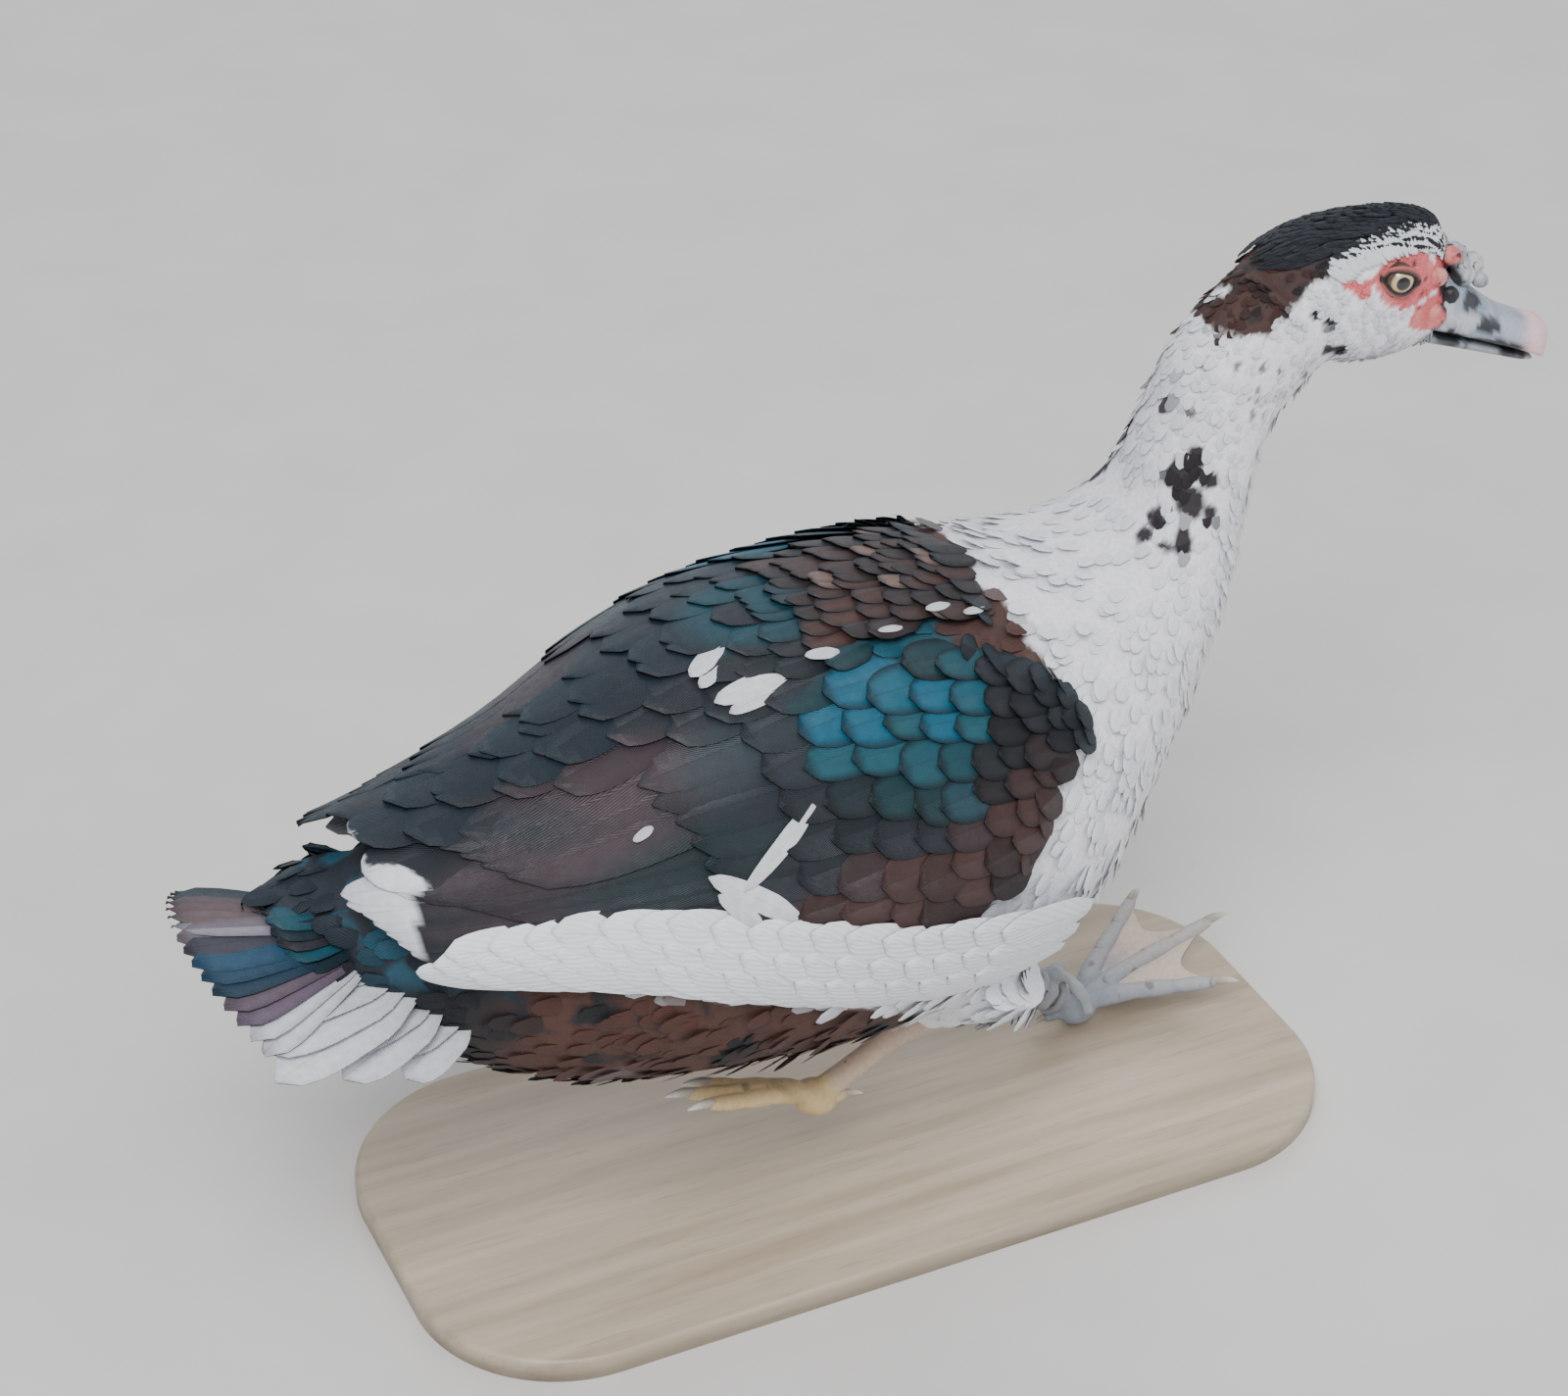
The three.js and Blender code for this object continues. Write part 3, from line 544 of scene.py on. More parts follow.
# Plum patches on the wing: middle along x and round from the top, reach each way, and strength
PLUM_PATCHES = [
    (-112, 30, 24, 11, 0.9), (-94, 36, 16, 6, 0.8), (-131, 18, 20, 7, 0.7), (-125, 48, 26, 7, 0.7),
    (-165, 46, 24, 12, 0.55), (-170, 66, 26, 6, 0.5),
]


def wing_tint(x, angle, seed):
    """Colour of the wing and back along x and round from the top, with a value for each feather"""
    flat = wing_flat(x, angle)
    wave, fine = ripple(flat, 13, 2), ripple(flat, 4.2, 6)
    tint = blend((0.017, 0.020, 0.028), (0.010, 0.016, 0.021), smooth(wave, -0.5, 0.8))
    tint = blend(tint, (0.028, 0.019, 0.021), smooth(fine + wave, 0.6, 1.6))
    for cx, ca, rx, ra, share in PLUM_PATCHES:
        tint = blend(tint, PLUM, share * patch(x, angle, cx, ca, rx, ra, wave, 0.5))
    tint = blend(tint, (0.034, 0.050, 0.060), 0.8 * patch(x, angle, -76, 36, 22, 8, wave, 0.5))
    tint = blend(tint, (0.010, 0.024, 0.028), 0.8 * patch(x, angle, -96, 58, 34, 9, wave, 0.4))
    tint = blend(tint, (0.010, 0.018, 0.028), smooth(12 - angle + 3 * wave, -3, 3) * smooth(-x, 56, 80))
    saddle = 0.85 * patch(x, angle, -42, 0, 24, 14, wave, 0.3) * (seed < 0.7)
    tint = blend(tint, (0.009, 0.060, 0.085), saddle)
    mantle = smooth(x + 4 * wave, -34, -24) * smooth(19 - angle, -2, 2)
    cloak = blend(BROWN, (0.030, 0.022, 0.022), smooth(seed + 0.3 * fine, 0.25, 0.7))
    tint = blend(tint, blend(cloak, (0.20, 0.13, 0.11), (seed > 0.86) * 1.0), mantle)
    zone = patch(x, angle, -12, 40, 36, 20, wave, 0.12)
    shine = blend((0.012, 0.085, 0.115), (0.007, 0.036, 0.045), smooth(seed, 0.5, 0.85))
    # Painted highlight: two patches of the teal zone are painted brighter blue, where its sheen is strongest
    painted_highlight = patch(x, angle, -27, 35, 15, 8, wave, 0.3) + patch(x, angle, 4, 40, 10, 7, wave, 0.3)
    shine = blend(shine, HIGHLIGHT_BLUE, np.minimum(painted_highlight, 1) * (seed < 0.8))
    tint = blend(tint, shine, zone)
    bend = smooth(x + 3 * wave + 0.25 * (angle - 44), 16, 24) * smooth(angle, 20, 26)
    tint = blend(tint, blend((0.009, 0.010, 0.013), (0.022, 0.024, 0.030), seed), bend)
    low = np.interp(x, [-72, -58, -38, 0, 22, 33, 46], [76, 72, 70, 66, 62, 55, 60])
    band = smooth(angle - low + 1.5 * wave, -2, 2) * smooth(x, -78, -66)
    earth = blend((0.062, 0.031, 0.028), (0.022, 0.012, 0.012), smooth(wave + 0.7 * fine, -0.3, 0.8))
    return blend(tint, earth, band)


def wing_white(x, angle):
    """The wing's white tip, as how white each place is"""
    edge = np.interp(angle, [20, 30, 41, 48, 62, 80], [-200, -186, -184, -190, -193, -194])
    return smooth(edge - x + 1.6 * ripple(wing_flat(x, angle), 3, 9), -0.8, 0.8)


# White feathers that stand alone on the wing: root, tip and width
WHITE_MARKS = [
    ((-52, 52), (-84, 67), 6.5), ((-66, 77), (-95, 61), 9), ((-78, 78), (-93, 66), 7),
    ((-57, 8), (-75, 13), 9), ((-60, 12), (-74, 17), 7), ((-44, 22), (-72, 22), 9.5),
    ((-50, 25), (-69, 26), 6), ((-22, 21), (-35, 20), 5), ((-108, 44), (-116, 46), 3.5),
    ((26, 17), (15, 18), 4), ((38, 20), (28, 21), 3.5), ((4, 20), (-6, 20), 3),
]


# Feathers as thin closed blades

def small_feathers(name, roots, aims, normals, lengths, widths, lift, bend, tints, spots, thick):
    """Many small blades: rows of left edge, top, right edge and underside"""
    steps = np.array([0, 0.45, 0.85, 1.0])
    spread = np.array([0.5, 1.0, 0.72, 0.14])
    sides = unit(np.cross(normals, aims))
    points = []
    for t, w in zip(steps, spread):
        rise = -0.9 + (lift + 0.9) * t ** 0.8 - bend * (lengths * t) ** 2
        centre = roots + aims * (lengths * t)[:, None] + normals * rise[:, None]
        half = (widths * w / 2)[:, None]
        points += [centre - sides * half, centre + normals * (thick * (1.1 - t)), centre + sides * half,
                   centre - normals * 0.12]
    points = np.stack(points, 1)
    template = []
    for i in range(3):
        for j in range(4):
            k = (j + 1) % 4
            template.append([4 * i + j, 4 * i + k, 4 * i + 4 + k, 4 * i + 4 + j])
    template += [[3, 2, 1, 0], [12, 13, 14, 15]]
    template = np.array(template)[:, ::-1]
    quads = (template[None] + 16 * np.arange(len(roots))[:, None, None]).reshape(-1, 4)
    piece = quad_mesh(name, points.reshape(-1, 3), quads)
    facing = []
    for t in steps:
        leaning = normals + aims * (0.25 * t)
        facing += [unit(leaning - sides * 0.3), unit(leaning), unit(leaning + sides * 0.3), -normals]
    piece.data.normals_split_custom_set_from_vertices(np.stack(facing, 1).reshape(-1, 3))
    across = np.tile([0.0, 0.5, 1.0, 0.5], 4)
    up = np.repeat(steps, 4)
    local = np.tile(np.stack([across, up], -1), (len(roots), 1))
    paint(piece, np.repeat(tints, 16, 0))
    set_uv(piece, "Feather", local)
    set_uv(piece, "OFBake", np.repeat(spots, 16, 0) + (local - 0.5) * 0.003)
    return piece


def vane_grid(place, width, sunk, lift, tilt, thick=0.45, rows=11, columns=7, tip=0.5):
    """One large feather over a surface given as place(t, across, height)"""
    t = np.linspace(0, 1, rows)
    s = np.linspace(-1, 1, columns)
    tt, ss = np.meshgrid(t, s, indexing="ij")
    body = np.minimum(1, 0.45 + 2.2 * tt)
    round_off = np.sqrt(np.clip(1 - ((np.maximum(tt, 1 - tip) - (1 - tip)) / tip) ** 2.4, 0, 1))
    half = width / 2 * body * np.maximum(round_off, 0.06)
    camber = 0.5 * (1 - ss ** 2)
    shaft = 0.25 * np.exp(-((ss / 0.16) ** 2)) * (1 - tt)
    height = sunk + (lift - sunk) * tt ** 0.85 + camber + tilt * ss + shaft
    across = ss * half
    top = place(tt, across, height + thick / 2)
    low = place(tt, across, height - thick / 2)
    return top, low, tt, ss


class Plumage:
    """Collects large feathers into one piece"""

    def __init__(self):
        self.points, self.quads, self.tints, self.local = [], [], [], []
        self.spots, self.rims, self.facing = [], [], []
        self.count = 0

    def add(self, top, low, tt, ss, tint, spot, rim=0.6):
        rows, columns = tt.shape
        index = np.arange(rows * columns).reshape(rows, columns)
        n = rows * columns
        a, b, c, d = index[:-1, :-1], index[:-1, 1:], index[1:, 1:], index[1:, :-1]
        quads = [np.stack([a, b, c, d], -1).reshape(-1, 4), np.stack([d, c, b, a], -1).reshape(-1, 4) + n]
        border = np.concatenate([index[0, :], index[1:, -1], index[-1, -2::-1], index[-2:0:-1, 0]])
        after = np.roll(border, -1)
        quads.append(np.stack([after, border, border + n, after + n], -1))
        self.quads.append(np.concatenate(quads) + self.count)
        self.points.append(np.concatenate([top.reshape(-1, 3), low.reshape(-1, 3)]))
        local = np.stack([(ss.ravel() + 1) / 2, tt.ravel()], -1)
        self.local.append(np.concatenate([local, local]))
        self.tints.append(np.concatenate([tint.reshape(-1, 3)] * 2))
        self.spots.append(np.concatenate([spot + (local - 0.5) * 0.003] * 2))
        self.rims.append(np.full(2 * n, rim))
        facing = unit(np.cross(np.gradient(top, axis=0), np.gradient(top, axis=1)))
        facing = (facing * np.sign(np.sum(facing * (top - low), -1, keepdims=True))).reshape(-1, 3)
        self.facing.append(np.concatenate([facing, -facing]))
        self.count += 2 * n

    def build(self, name):
        piece = quad_mesh(name, np.concatenate(self.points), np.concatenate(self.quads))
        paint(piece, np.concatenate(self.tints))
        set_uv(piece, "Feather", np.concatenate(self.local))
        set_uv(piece, "OFBake", np.concatenate(self.spots))
        set_value(piece, "rim", np.concatenate(self.rims))
        face_out(piece)
        shade_smooth(piece.data)
        piece.data.normals_split_custom_set_from_vertices(np.concatenate(self.facing))
        return piece


def face_out(piece):
    solid = bmesh.new()
    solid.from_mesh(piece.data)
    bmesh.ops.recalc_face_normals(solid, faces=solid.faces)
    solid.to_mesh(piece.data)
    solid.free()


def wing_feather(
    side, start, end, width, lift, seed, tilt=0.55, sunk=-2.2, tip=0.5, rim=0.6, thick=0.45, whole=False
):
    """A feather on the wing's envelope. A whole one has one ground colour."""
    (x0, a0), (x1, a1) = start, end

    def spread(t, across):
        x = x0 + (x1 - x0) * t
        row = wing_row(x)
        per_degree = np.radians((row[..., 1] + row[..., 2]) / 2)
        length = np.hypot(x1 - x0, (a1 - a0) * per_degree)
        hx, ha = (x1 - x0) / length, (a1 - a0) * per_degree / length
        return x - ha * across, a0 + (a1 - a0) * t + hx * across / per_degree

    def place(t, across, height):
        x, angle = spread(t, across)
        return wing_point(side, x, angle, height)

    shape = (place, width, sunk, lift, side * tilt, thick)
    top, low, tt, ss = vane_grid(*shape, tip=tip)
    x, angle = spread(tt, ss * width / 2)
    marked = side < 0 and wing_white(x, angle).max() > 0.02
    if marked:
        top, low, tt, ss = vane_grid(*shape, rows=36, columns=17, tip=tip)
        x, angle = spread(tt, ss * width / 2)
    seeds = np.full_like(x, seed)
    if whole:
        one_x = np.full_like(x, x0 + 0.75 * (x1 - x0))
        one_angle = np.full_like(x, a0 + 0.75 * (a1 - a0))
        tint = wing_tint(one_x, one_angle, seeds)
    else:
        tint = wing_tint(x, angle, seeds) * (0.86 + 0.28 * seed)
    if marked:
        tint = blend(tint, WHITE, wing_white(x, angle))
    spot = np.array([0.05 + 0.4 * (100 - x0) / 370, (0.5 if side > 0 else 0.0) + 0.5 * (a0 / 110)])
    return top, low, tt, ss, tint, spot, rim


# Large feathers of the wing: count, then root and tip of the lowest and of the highest feather
WING_TIERS = [
    dict(count=7, root=((-100, 67), (-118, 46)), tip=((-197, 77), (-214, 34)), width=17, lift=0.8, rim=0.25),
    dict(count=9, root=((-52, 74), (-84, 42)), tip=((-142, 73), (-196, 38)), width=20, lift=1.2, rim=0.2),
    dict(count=5, root=((-44, 42), (-52, 20)), tip=((-160, 44), (-182, 17)), width=26, lift=2.0, rim=0.2),
    dict(count=8, root=((-30, 82), (-26, 34)), tip=((-84, 78), (-108, 32)), width=21, lift=1.7, rim=0.25),
]
# Rows of scale-like coverts from back to front: where the tips lie, length and width
SCALES = [
    (-66, 40, 21), (-50, 37, 20), (-34, 34, 20), (-19, 31, 19), (-5, 28, 17.5),
    (8, 26, 16), (20, 24, 14.5), (31, 22, 13), (41, 20, 12), (50, 18, 11), (58, 16, 10),
]


def unit_draw(k, number):
    """A fixed scattered value from 0 to 1 for feather k of a row"""
    value = math.sin(12.99 * (k + 1) + 78.23 * number) * 4375.85
    return value - math.floor(value)


def flank_top(x):
    """Angle on the wing down to which the white flank leaves it bare"""
    return np.interp(x, [-197, -168, -139, -107, -83, -41, -3, 20], [77, 70, 66, 70, 76, 85, 90, 96])


def add_scales(feathers, side):
    """Coverts from the elbow to the bend, each row set half a feather from the last"""
    for number, (tip, length, width) in enumerate(SCALES):
        step = math.degrees(width * 0.74 / 96)
        angle = 29 + (step / 2 if number % 2 else 0)
        k = 0
        while angle < 92:
            front = float(wing_front(angle))
            root = min(tip + length, front - 1)
            if front > tip + 5 and angle < flank_top(tip) + 1:
                seed = unit_draw(k, number + 20)
                start = (root, angle - 0.03 * (angle - 50))
                second = unit_draw(k + 40, number)
                end = (tip + 5 * (seed - 0.5), angle + 3.4 * (second - 0.5) + (2.5 if tip < -40 else 0))
                shown = patch(np.array(float(tip)), np.array(angle), -6, 42, 60, 24, 0.0, 0.3)
                rim = float(0.15 + 0.75 * shown)
                spread = width * (0.88 + 0.34 * second)
                lift = 1.9 + 0.5 * (second - 0.5) - 0.9 * float(smooth(np.array(angle), 70, 84))
                made = wing_feather(side, start, end, spread, lift, seed, rim=rim, tip=0.55, whole=True)
                feathers.add(*made)
            angle += step
            k += 1


# Where the tips of the back's rows lie, and how far round from the top the rows reach at an x
BACK_TIPS = [-200, -184, -168, -150, -132, -112, -92, -74, -58, -44, -31, -19, -8, 3, 13, 22, 30]
BACK_REACH = ([-200, -150, -88, -66, -30, -6, 12, 26], [24, 18, 25, 28, 22, 18, 18, 22])


def add_back(feathers, side):
    """Scapulars, mantle and rump from the neck's root to the tail, from the midline outwards"""
    for number, tip in enumerate(BACK_TIPS):
        far = smooth(np.array(-tip), 36, 70)
        length, width = float(22 + 28 * far), float(13 + 12 * far)
        outer = float(np.interp(tip, BACK_REACH[0], BACK_REACH[1]))
        reach = np.radians(float(np.mean(wing_row(np.array(float(tip)))[1:3])))
        step = width * 0.62 / max(reach, 0.4)
        angle, k = outer - (step / 2 if number % 2 else 0), 0
        while angle > -step * 0.6:
            seed = unit_draw(k, number + 50)
            second = unit_draw(k + 40, number)
            root = min(tip + length, 48 - 0.4 * angle)
            lift = 2.1 + 0.8 * (1 - angle / outer) + 0.5 * (second - 0.5)
            start, end = (root, angle * 0.92), (tip + 7 * (seed - 0.5), angle + 3 * (second - 0.5))
            rim = float(0.7 - 0.55 * far)
            whole = tip > -50
            made = wing_feather(side, start, end, width, lift, seed, rim=rim, sunk=-1.5, whole=whole)
            feathers.add(*made)
            angle -= step
            k += 1


def add_white(feathers, made, colour):
    """Adds a feather of the wing in one plain colour"""
    top, low, tt, ss, tint, spot, rim = made
    feathers.add(top, low, tt, ss, np.broadcast_to(np.array(colour), tint.shape), spot, rim)


def add_marks(feathers, side):
    for start, end, width in WHITE_MARKS:
        lift = 3.5 if start[1] < 30 else 2.7
        made = wing_feather(side, start, end, width, lift, 0.5, tilt=0.1, sunk=1.2, tip=0.7, rim=0.0)
        add_white(feathers, made, WHITE)


def add_flank(feathers, side):
    """White flank feathers that cover the wing's lower edge"""
    for row in range(3):
        for k in range(17):
            seed = unit_draw(k, row + 80)
            tip = -186 + 12.5 * k - 4 * row + 4 * (seed - 0.5)
            root = tip + 44
            start = (root, float(flank_top(root)) + 8 + 8 * row)
            end = (tip, float(flank_top(tip)) + 1.5 + 7.5 * row + 1.5 * (seed - 0.5))
            lift = 2.6 - 0.7 * row
            made = wing_feather(
                side, start, end, 19, lift, seed, sunk=-2.0, tip=0.6, rim=0.0, tilt=0.1, thick=0.3
            )
            add_white(feathers, made, np.array(WHITE) * (0.94 + 0.08 * seed))


def make_wing(side, name):
    rings = []
    for t in np.linspace(0, 1, 30):
        near, far = 30 - 16 * t, 80 - 12 * t
        angle = np.linspace(near, far, 14)
        x = (wing_front(angle) - 6) * (1 - t) - 192 * t
        outer = wing_point(side, x, angle, np.full(14, -0.8))
        inner = wing_point(side, x[::-1], angle[::-1], np.full(14, -7.0))
        rings.append(np.concatenate([outer, inner]))
    under = solid_mesh("wing_base_" + name, *closed_loft(rings))
    p = points_of(under)
    paint(under, np.tile((0.02, 0.024, 0.03), (len(p), 1)))
    set_uv(under, "OFBake", np.stack([0.5 + p[:, 0] / 900, 0.2 + p[:, 2] / 900], -1))
    feathers = Plumage()
    for number, tier in enumerate(WING_TIERS):
        for k in range(tier["count"]):
            f = k / (tier["count"] - 1)
            seed = unit_draw(k, number)
            start = [a * (1 - f) + b * f for a, b in zip(*tier["root"])]
            end = [a * (1 - f) + b * f for a, b in zip(*tier["tip"])]
            end[0] += 2.5 * (seed - 0.5)
            width = tier["width"] * (1.0 + 0.08 * (seed - 0.5))
            lift = tier["lift"] + 0.25 * (seed - 0.5)
            feathers.add(*wing_feather(side, start, end, width, lift, seed, rim=tier["rim"]))
    add_scales(feathers, side)
    add_back(feathers, side)
    if side < 0:
        add_marks(feathers, side)
    coat = feathers.build("wing_feathers_" + name)
    flank = Plumage()
    add_flank(flank, side)
    return under, coat, flank.build("flank_feathers_" + name)


# Tail

def tail_place(angle):
    """How a feather at this angle of the fan lies, given its length and where it starts"""
    a, lift, roll = math.radians(angle), math.radians(TAIL_LIFT), math.radians(TAIL_ROLL)
    aim = np.array([-math.cos(lift), 0, math.sin(lift)])
    rise = np.array([math.sin(lift), 0, math.cos(lift)])
    side = np.array([0, math.cos(roll), math.sin(roll)])
    root = np.array(TAIL_ROOT) + [0, 0, GROUND]

    def place(length, away0):
        def inner(t, across, height):
            away = away0 + length * t
            forward = away * math.cos(a) - across * math.sin(a)
            out = away * math.sin(a) + across * math.cos(a)
            drop = (2 + 15 * t) * angle ** 2 / TAIL_FAN ** 2
            up = height - drop
            return root + forward[..., None] * aim + up[..., None] * rise + out[..., None] * side
        return inner
    return place


TAIL_COLOURS = [
    (0.72, 0.74, 0.80), (0.70, 0.71, 0.78), (0.16, 0.12, 0.17), (0.13, 0.10, 0.13), (0.018, 0.045, 0.075),
    (0.016, 0.055, 0.10), (0.018, 0.07, 0.13), (0.05, 0.05, 0.07), (0.17, 0.14, 0.17), (0.30, 0.28, 0.34),
    (0.14, 0.09, 0.09), (0.12, 0.07, 0.07), (0.10, 0.07, 0.075), (0.035, 0.04, 0.05), (0.014, 0.03, 0.045),
    (0.012, 0.02, 0.03), (0.014, 0.03, 0.042), (0.014, 0.025, 0.035),
]


COVERT_COLOURS = [(0.014, 0.03, 0.042), (0.016, 0.085, 0.12), (0.03, 0.03, 0.04)]


def make_tail():
    feathers = Plumage()
    rows = [
        dict(count=18, start=12, length=69, width=14, sunk=-1.5, lift=0.6, colours=TAIL_COLOURS),
        dict(count=13, start=2, length=46, width=15, sunk=6, lift=2.6, colours=None),
        dict(count=9, start=-8, length=32, width=15, sunk=11, lift=6.5, colours=None),
    ]
    for number, row in enumerate(rows):
        for k in range(row["count"]):
            f = 2 * k / (row["count"] - 1) - 1
            short = 7 * f * f
            angle = f * TAIL_FAN * (1 - 0.06 * number)
            place = tail_place(angle)(row["length"] - short, row["start"])
            top, low, tt, ss = vane_grid(
                place, row["width"], row["sunk"], row["lift"] - 1.6 * abs(f), -0.9 * np.sign(f), tip=0.3
            )
            palette = row["colours"]
            base = np.array(palette[k] if palette else COVERT_COLOURS[(k + number) % 3])
            tint = np.broadcast_to(base, tt.shape + (3,))
            spot = np.array([0.52 + 0.1 * number, 0.5 + 0.45 * f])
            feathers.add(top, low, tt, ss, tint, spot, 0.3)
    under_coverts(feathers)
    return feathers.build("tail_feathers")


def under_coverts(feathers):
    """Feathers under the tail: white on the near side, dark at the middle"""
    root = np.array(TAIL_ROOT) + [0, 0, GROUND]
    for row, (reach, low) in enumerate(((44, -10), (30, -17), (18, -24))):
        for k in range(9):
            f = k / 4 - 1
            out = 30 * f
            base = root + [-4 + 10 * row, out * 0.9, low - 4 * f * f]

            def place(t, across, height, base=base, f=f, reach=reach):
                x = base[0] - (reach + 14) * t - 0.2 * across
                y = base[1] + 26 * f * t + across
                z = base[2] + (6 - 5 * abs(f)) * t - height
                return np.stack([x, y, z], -1)

            top, low_face, tt, ss = vane_grid(place, 26, -1.5, 1.2, 0.4 * f, tip=0.5)
            near = f < 0.1
            tint = np.broadcast_to(np.array(WHITE if near else (0.02, 0.02, 0.026)), tt.shape + (3,))
            feathers.add(top, low_face, tt, ss, tint, np.array([0.85 + 0.04 * row, 0.5 + 0.4 * f]), 0.1)


# Materials

class Nodes:
    """Short calls for building a material's nodes"""

    def __init__(self, name):
        self.material = bpy.data.materials.new(name)
        self.material.use_nodes = True
        self.tree = self.material.node_tree
        self.shader = self.tree.nodes["Principled BSDF"]

    def add(self, kind, inputs=None, **settings):
        made = self.tree.nodes.new(kind)
        for key, value in settings.items():
            setattr(made, key, value)
        for key, value in (inputs or {}).items():
            self.link(value, made.inputs[key])
        return made

    def link(self, value, socket):
        if isinstance(value, bpy.types.NodeSocket):
            self.tree.links.new(value, socket)
        else:
            socket.default_value = value

    def math(self, operation, a, b=0.0, c=0.0):
        return self.add("ShaderNodeMath", {0: a, 1: b, 2: c}, operation=operation).outputs[0]

    def ramp(self, value, low, high, to_low=0.0, to_high=1.0):
        made = self.add("ShaderNodeMapRange", {0: value, 1: low, 2: high, 3: to_low, 4: to_high})
        return made.outputs[0]

    def mix(self, factor, a, b, how="MIX"):
        made = self.add("ShaderNodeMix", data_type="RGBA", blend_type=how)
        for value, socket in ((factor, made.inputs[0]), (a, made.inputs[6]), (b, made.inputs[7])):
            self.link(value, socket)
        return made.outputs[2]

    def darken(self, factor, colour, shade):
        """The colour taken towards itself times a shade"""
        return self.mix(factor, colour, self.mix(1.0, colour, (*shade, 1), "MULTIPLY"))

    def noise(self, scale, detail=3.0, vector=None):
        made = self.add("ShaderNodeTexNoise", {"Scale": scale, "Detail": detail})
        place = vector or self.add("ShaderNodeTexCoord").outputs["Object"]
        self.tree.links.new(place, made.inputs["Vector"])
        return made.outputs["Fac"]

    def attribute(self, name, output="Color"):
        return self.add("ShaderNodeAttribute", attribute_name=name).outputs[output]

    def bump(self, height, distance, strength=1.0, after=None):
        made = self.add("ShaderNodeBump", {"Height": height, "Distance": distance, "Strength": strength})
        if after:
            self.tree.links.new(after, made.inputs["Normal"])
        return made.outputs["Normal"]

    def finish(self, **values):
        for key, value in values.items():
            self.link(value, self.shader.inputs[key.replace("_", " ")])
        return self.material


def feather_material(name, barbs, gloss, sheen, sheen_tint=(0.5, 0.6, 0.7, 1), dust=0.35, edge=True):
    """A vane: slanting barbs, a shaft, fine dust, and a dark rim where edge is set"""
    m = Nodes(name)
    uv = m.add("ShaderNodeUVMap", uv_map="Feather").outputs[0]
    split = m.add("ShaderNodeSeparateXYZ", {0: uv})
    side = m.math("ABSOLUTE", m.math("SUBTRACT", split.outputs[0], 0.5))
    slant = m.math("ADD", split.outputs[1], m.math("MULTIPLY", side, -0.9))
    ridge = m.math("SINE", m.math("MULTIPLY", slant, barbs * 6.283))
    shaft = m.ramp(side, 0.0, 0.03, 1.0, 0.0)
    colour = m.attribute("tint")
    grain = m.noise(260.0, 4.0)
    colour = m.darken(m.ramp(grain, 0.3, 0.75, 0.0, dust), colour, (0.45, 0.45, 0.45))
    colour = m.darken(m.ramp(ridge, -1, 1, 0.0, 0.14), colour, (0.5, 0.5, 0.5))
    if edge:
        rim = m.attribute("rim", "Fac")
        outer = m.math("MAXIMUM", m.ramp(side, 0.30, 0.48), m.ramp(split.outputs[1], 0.84, 0.97))
        colour = m.darken(m.math("MULTIPLY", outer, rim), colour, (0.16, 0.15, 0.17))
    colour = m.darken(m.math("MULTIPLY", shaft, 0.35), colour, (0.4, 0.38, 0.36))
    height = m.math("ADD", m.math("MULTIPLY", ridge, 0.35), m.math("MULTIPLY", grain, 0.8))
    normal = m.bump(height, 0.00035, 0.6)
    m.shader.inputs["Sheen Weight"].default_value = sheen
    m.shader.inputs["Sheen Roughness"].default_value = 0.4
    m.shader.inputs["Sheen Tint"].default_value = sheen_tint
    m.shader.inputs["Specular IOR Level"].default_value = 0.28
    roughness = m.ramp(grain, 0.2, 0.8, gloss - 0.08, gloss + 0.12)
    return m.finish(Base_Color=colour, Roughness=roughness, Normal=normal)


def skin_material():
    m = Nodes("duck_skin")
    colour = m.attribute("tint")
    bare = m.attribute("bare", "Fac")
    coarse = m.noise(500.0, 4.0)
    warts = m.add("ShaderNodeTexVoronoi", {"Scale": 620.0}).outputs["Distance"]
    colour = m.darken(m.ramp(coarse, 0.35, 0.7, 0.0, 0.35), colour, (0.6, 0.5, 0.5))
    wart_depth = m.math("MULTIPLY", warts, m.math("MULTIPLY", bare, -1.2))
    height = m.math("ADD", wart_depth, m.math("MULTIPLY", coarse, 0.6))
    m.shader.inputs["Subsurface Weight"].default_value = 0.08
    m.shader.inputs["Subsurface Radius"].default_value = (0.004, 0.0015, 0.001)
    m.shader.inputs["Subsurface Scale"].default_value = 0.5
    return m.finish(
        Base_Color=colour, Roughness=m.ramp(bare, 0, 1, 0.75, 0.42), Normal=m.bump(height, 0.0007, 0.8)
    )


def tinted_material(name, roughness, bump_scale, bump_size, coat, subsurface):
    """A painted surface with mottling, pores and fine bumps"""
    m = Nodes(name)
    colour = m.attribute("tint")
    grain = m.noise(bump_scale, 5.0)
    cells = m.add("ShaderNodeTexVoronoi", {"Scale": bump_scale * 0.8}).outputs["Distance"]
    colour = m.darken(m.ramp(grain, 0.3, 0.7, 0.0, 0.3), colour, (0.5, 0.47, 0.45))
    height = m.math("ADD", grain, m.math("MULTIPLY", cells, -0.5))
    m.shader.inputs["Coat Weight"].default_value = coat
    m.shader.inputs["Coat Roughness"].default_value = 0.2
    m.shader.inputs["Subsurface Weight"].default_value = subsurface
    m.shader.inputs["Subsurface Radius"].default_value = (0.003, 0.0012, 0.001)
    return m.finish(
        Base_Color=colour,
        Roughness=m.ramp(grain, 0.25, 0.75, roughness - 0.1, roughness + 0.12),
        Normal=m.bump(height, bump_size, 0.7),
    )


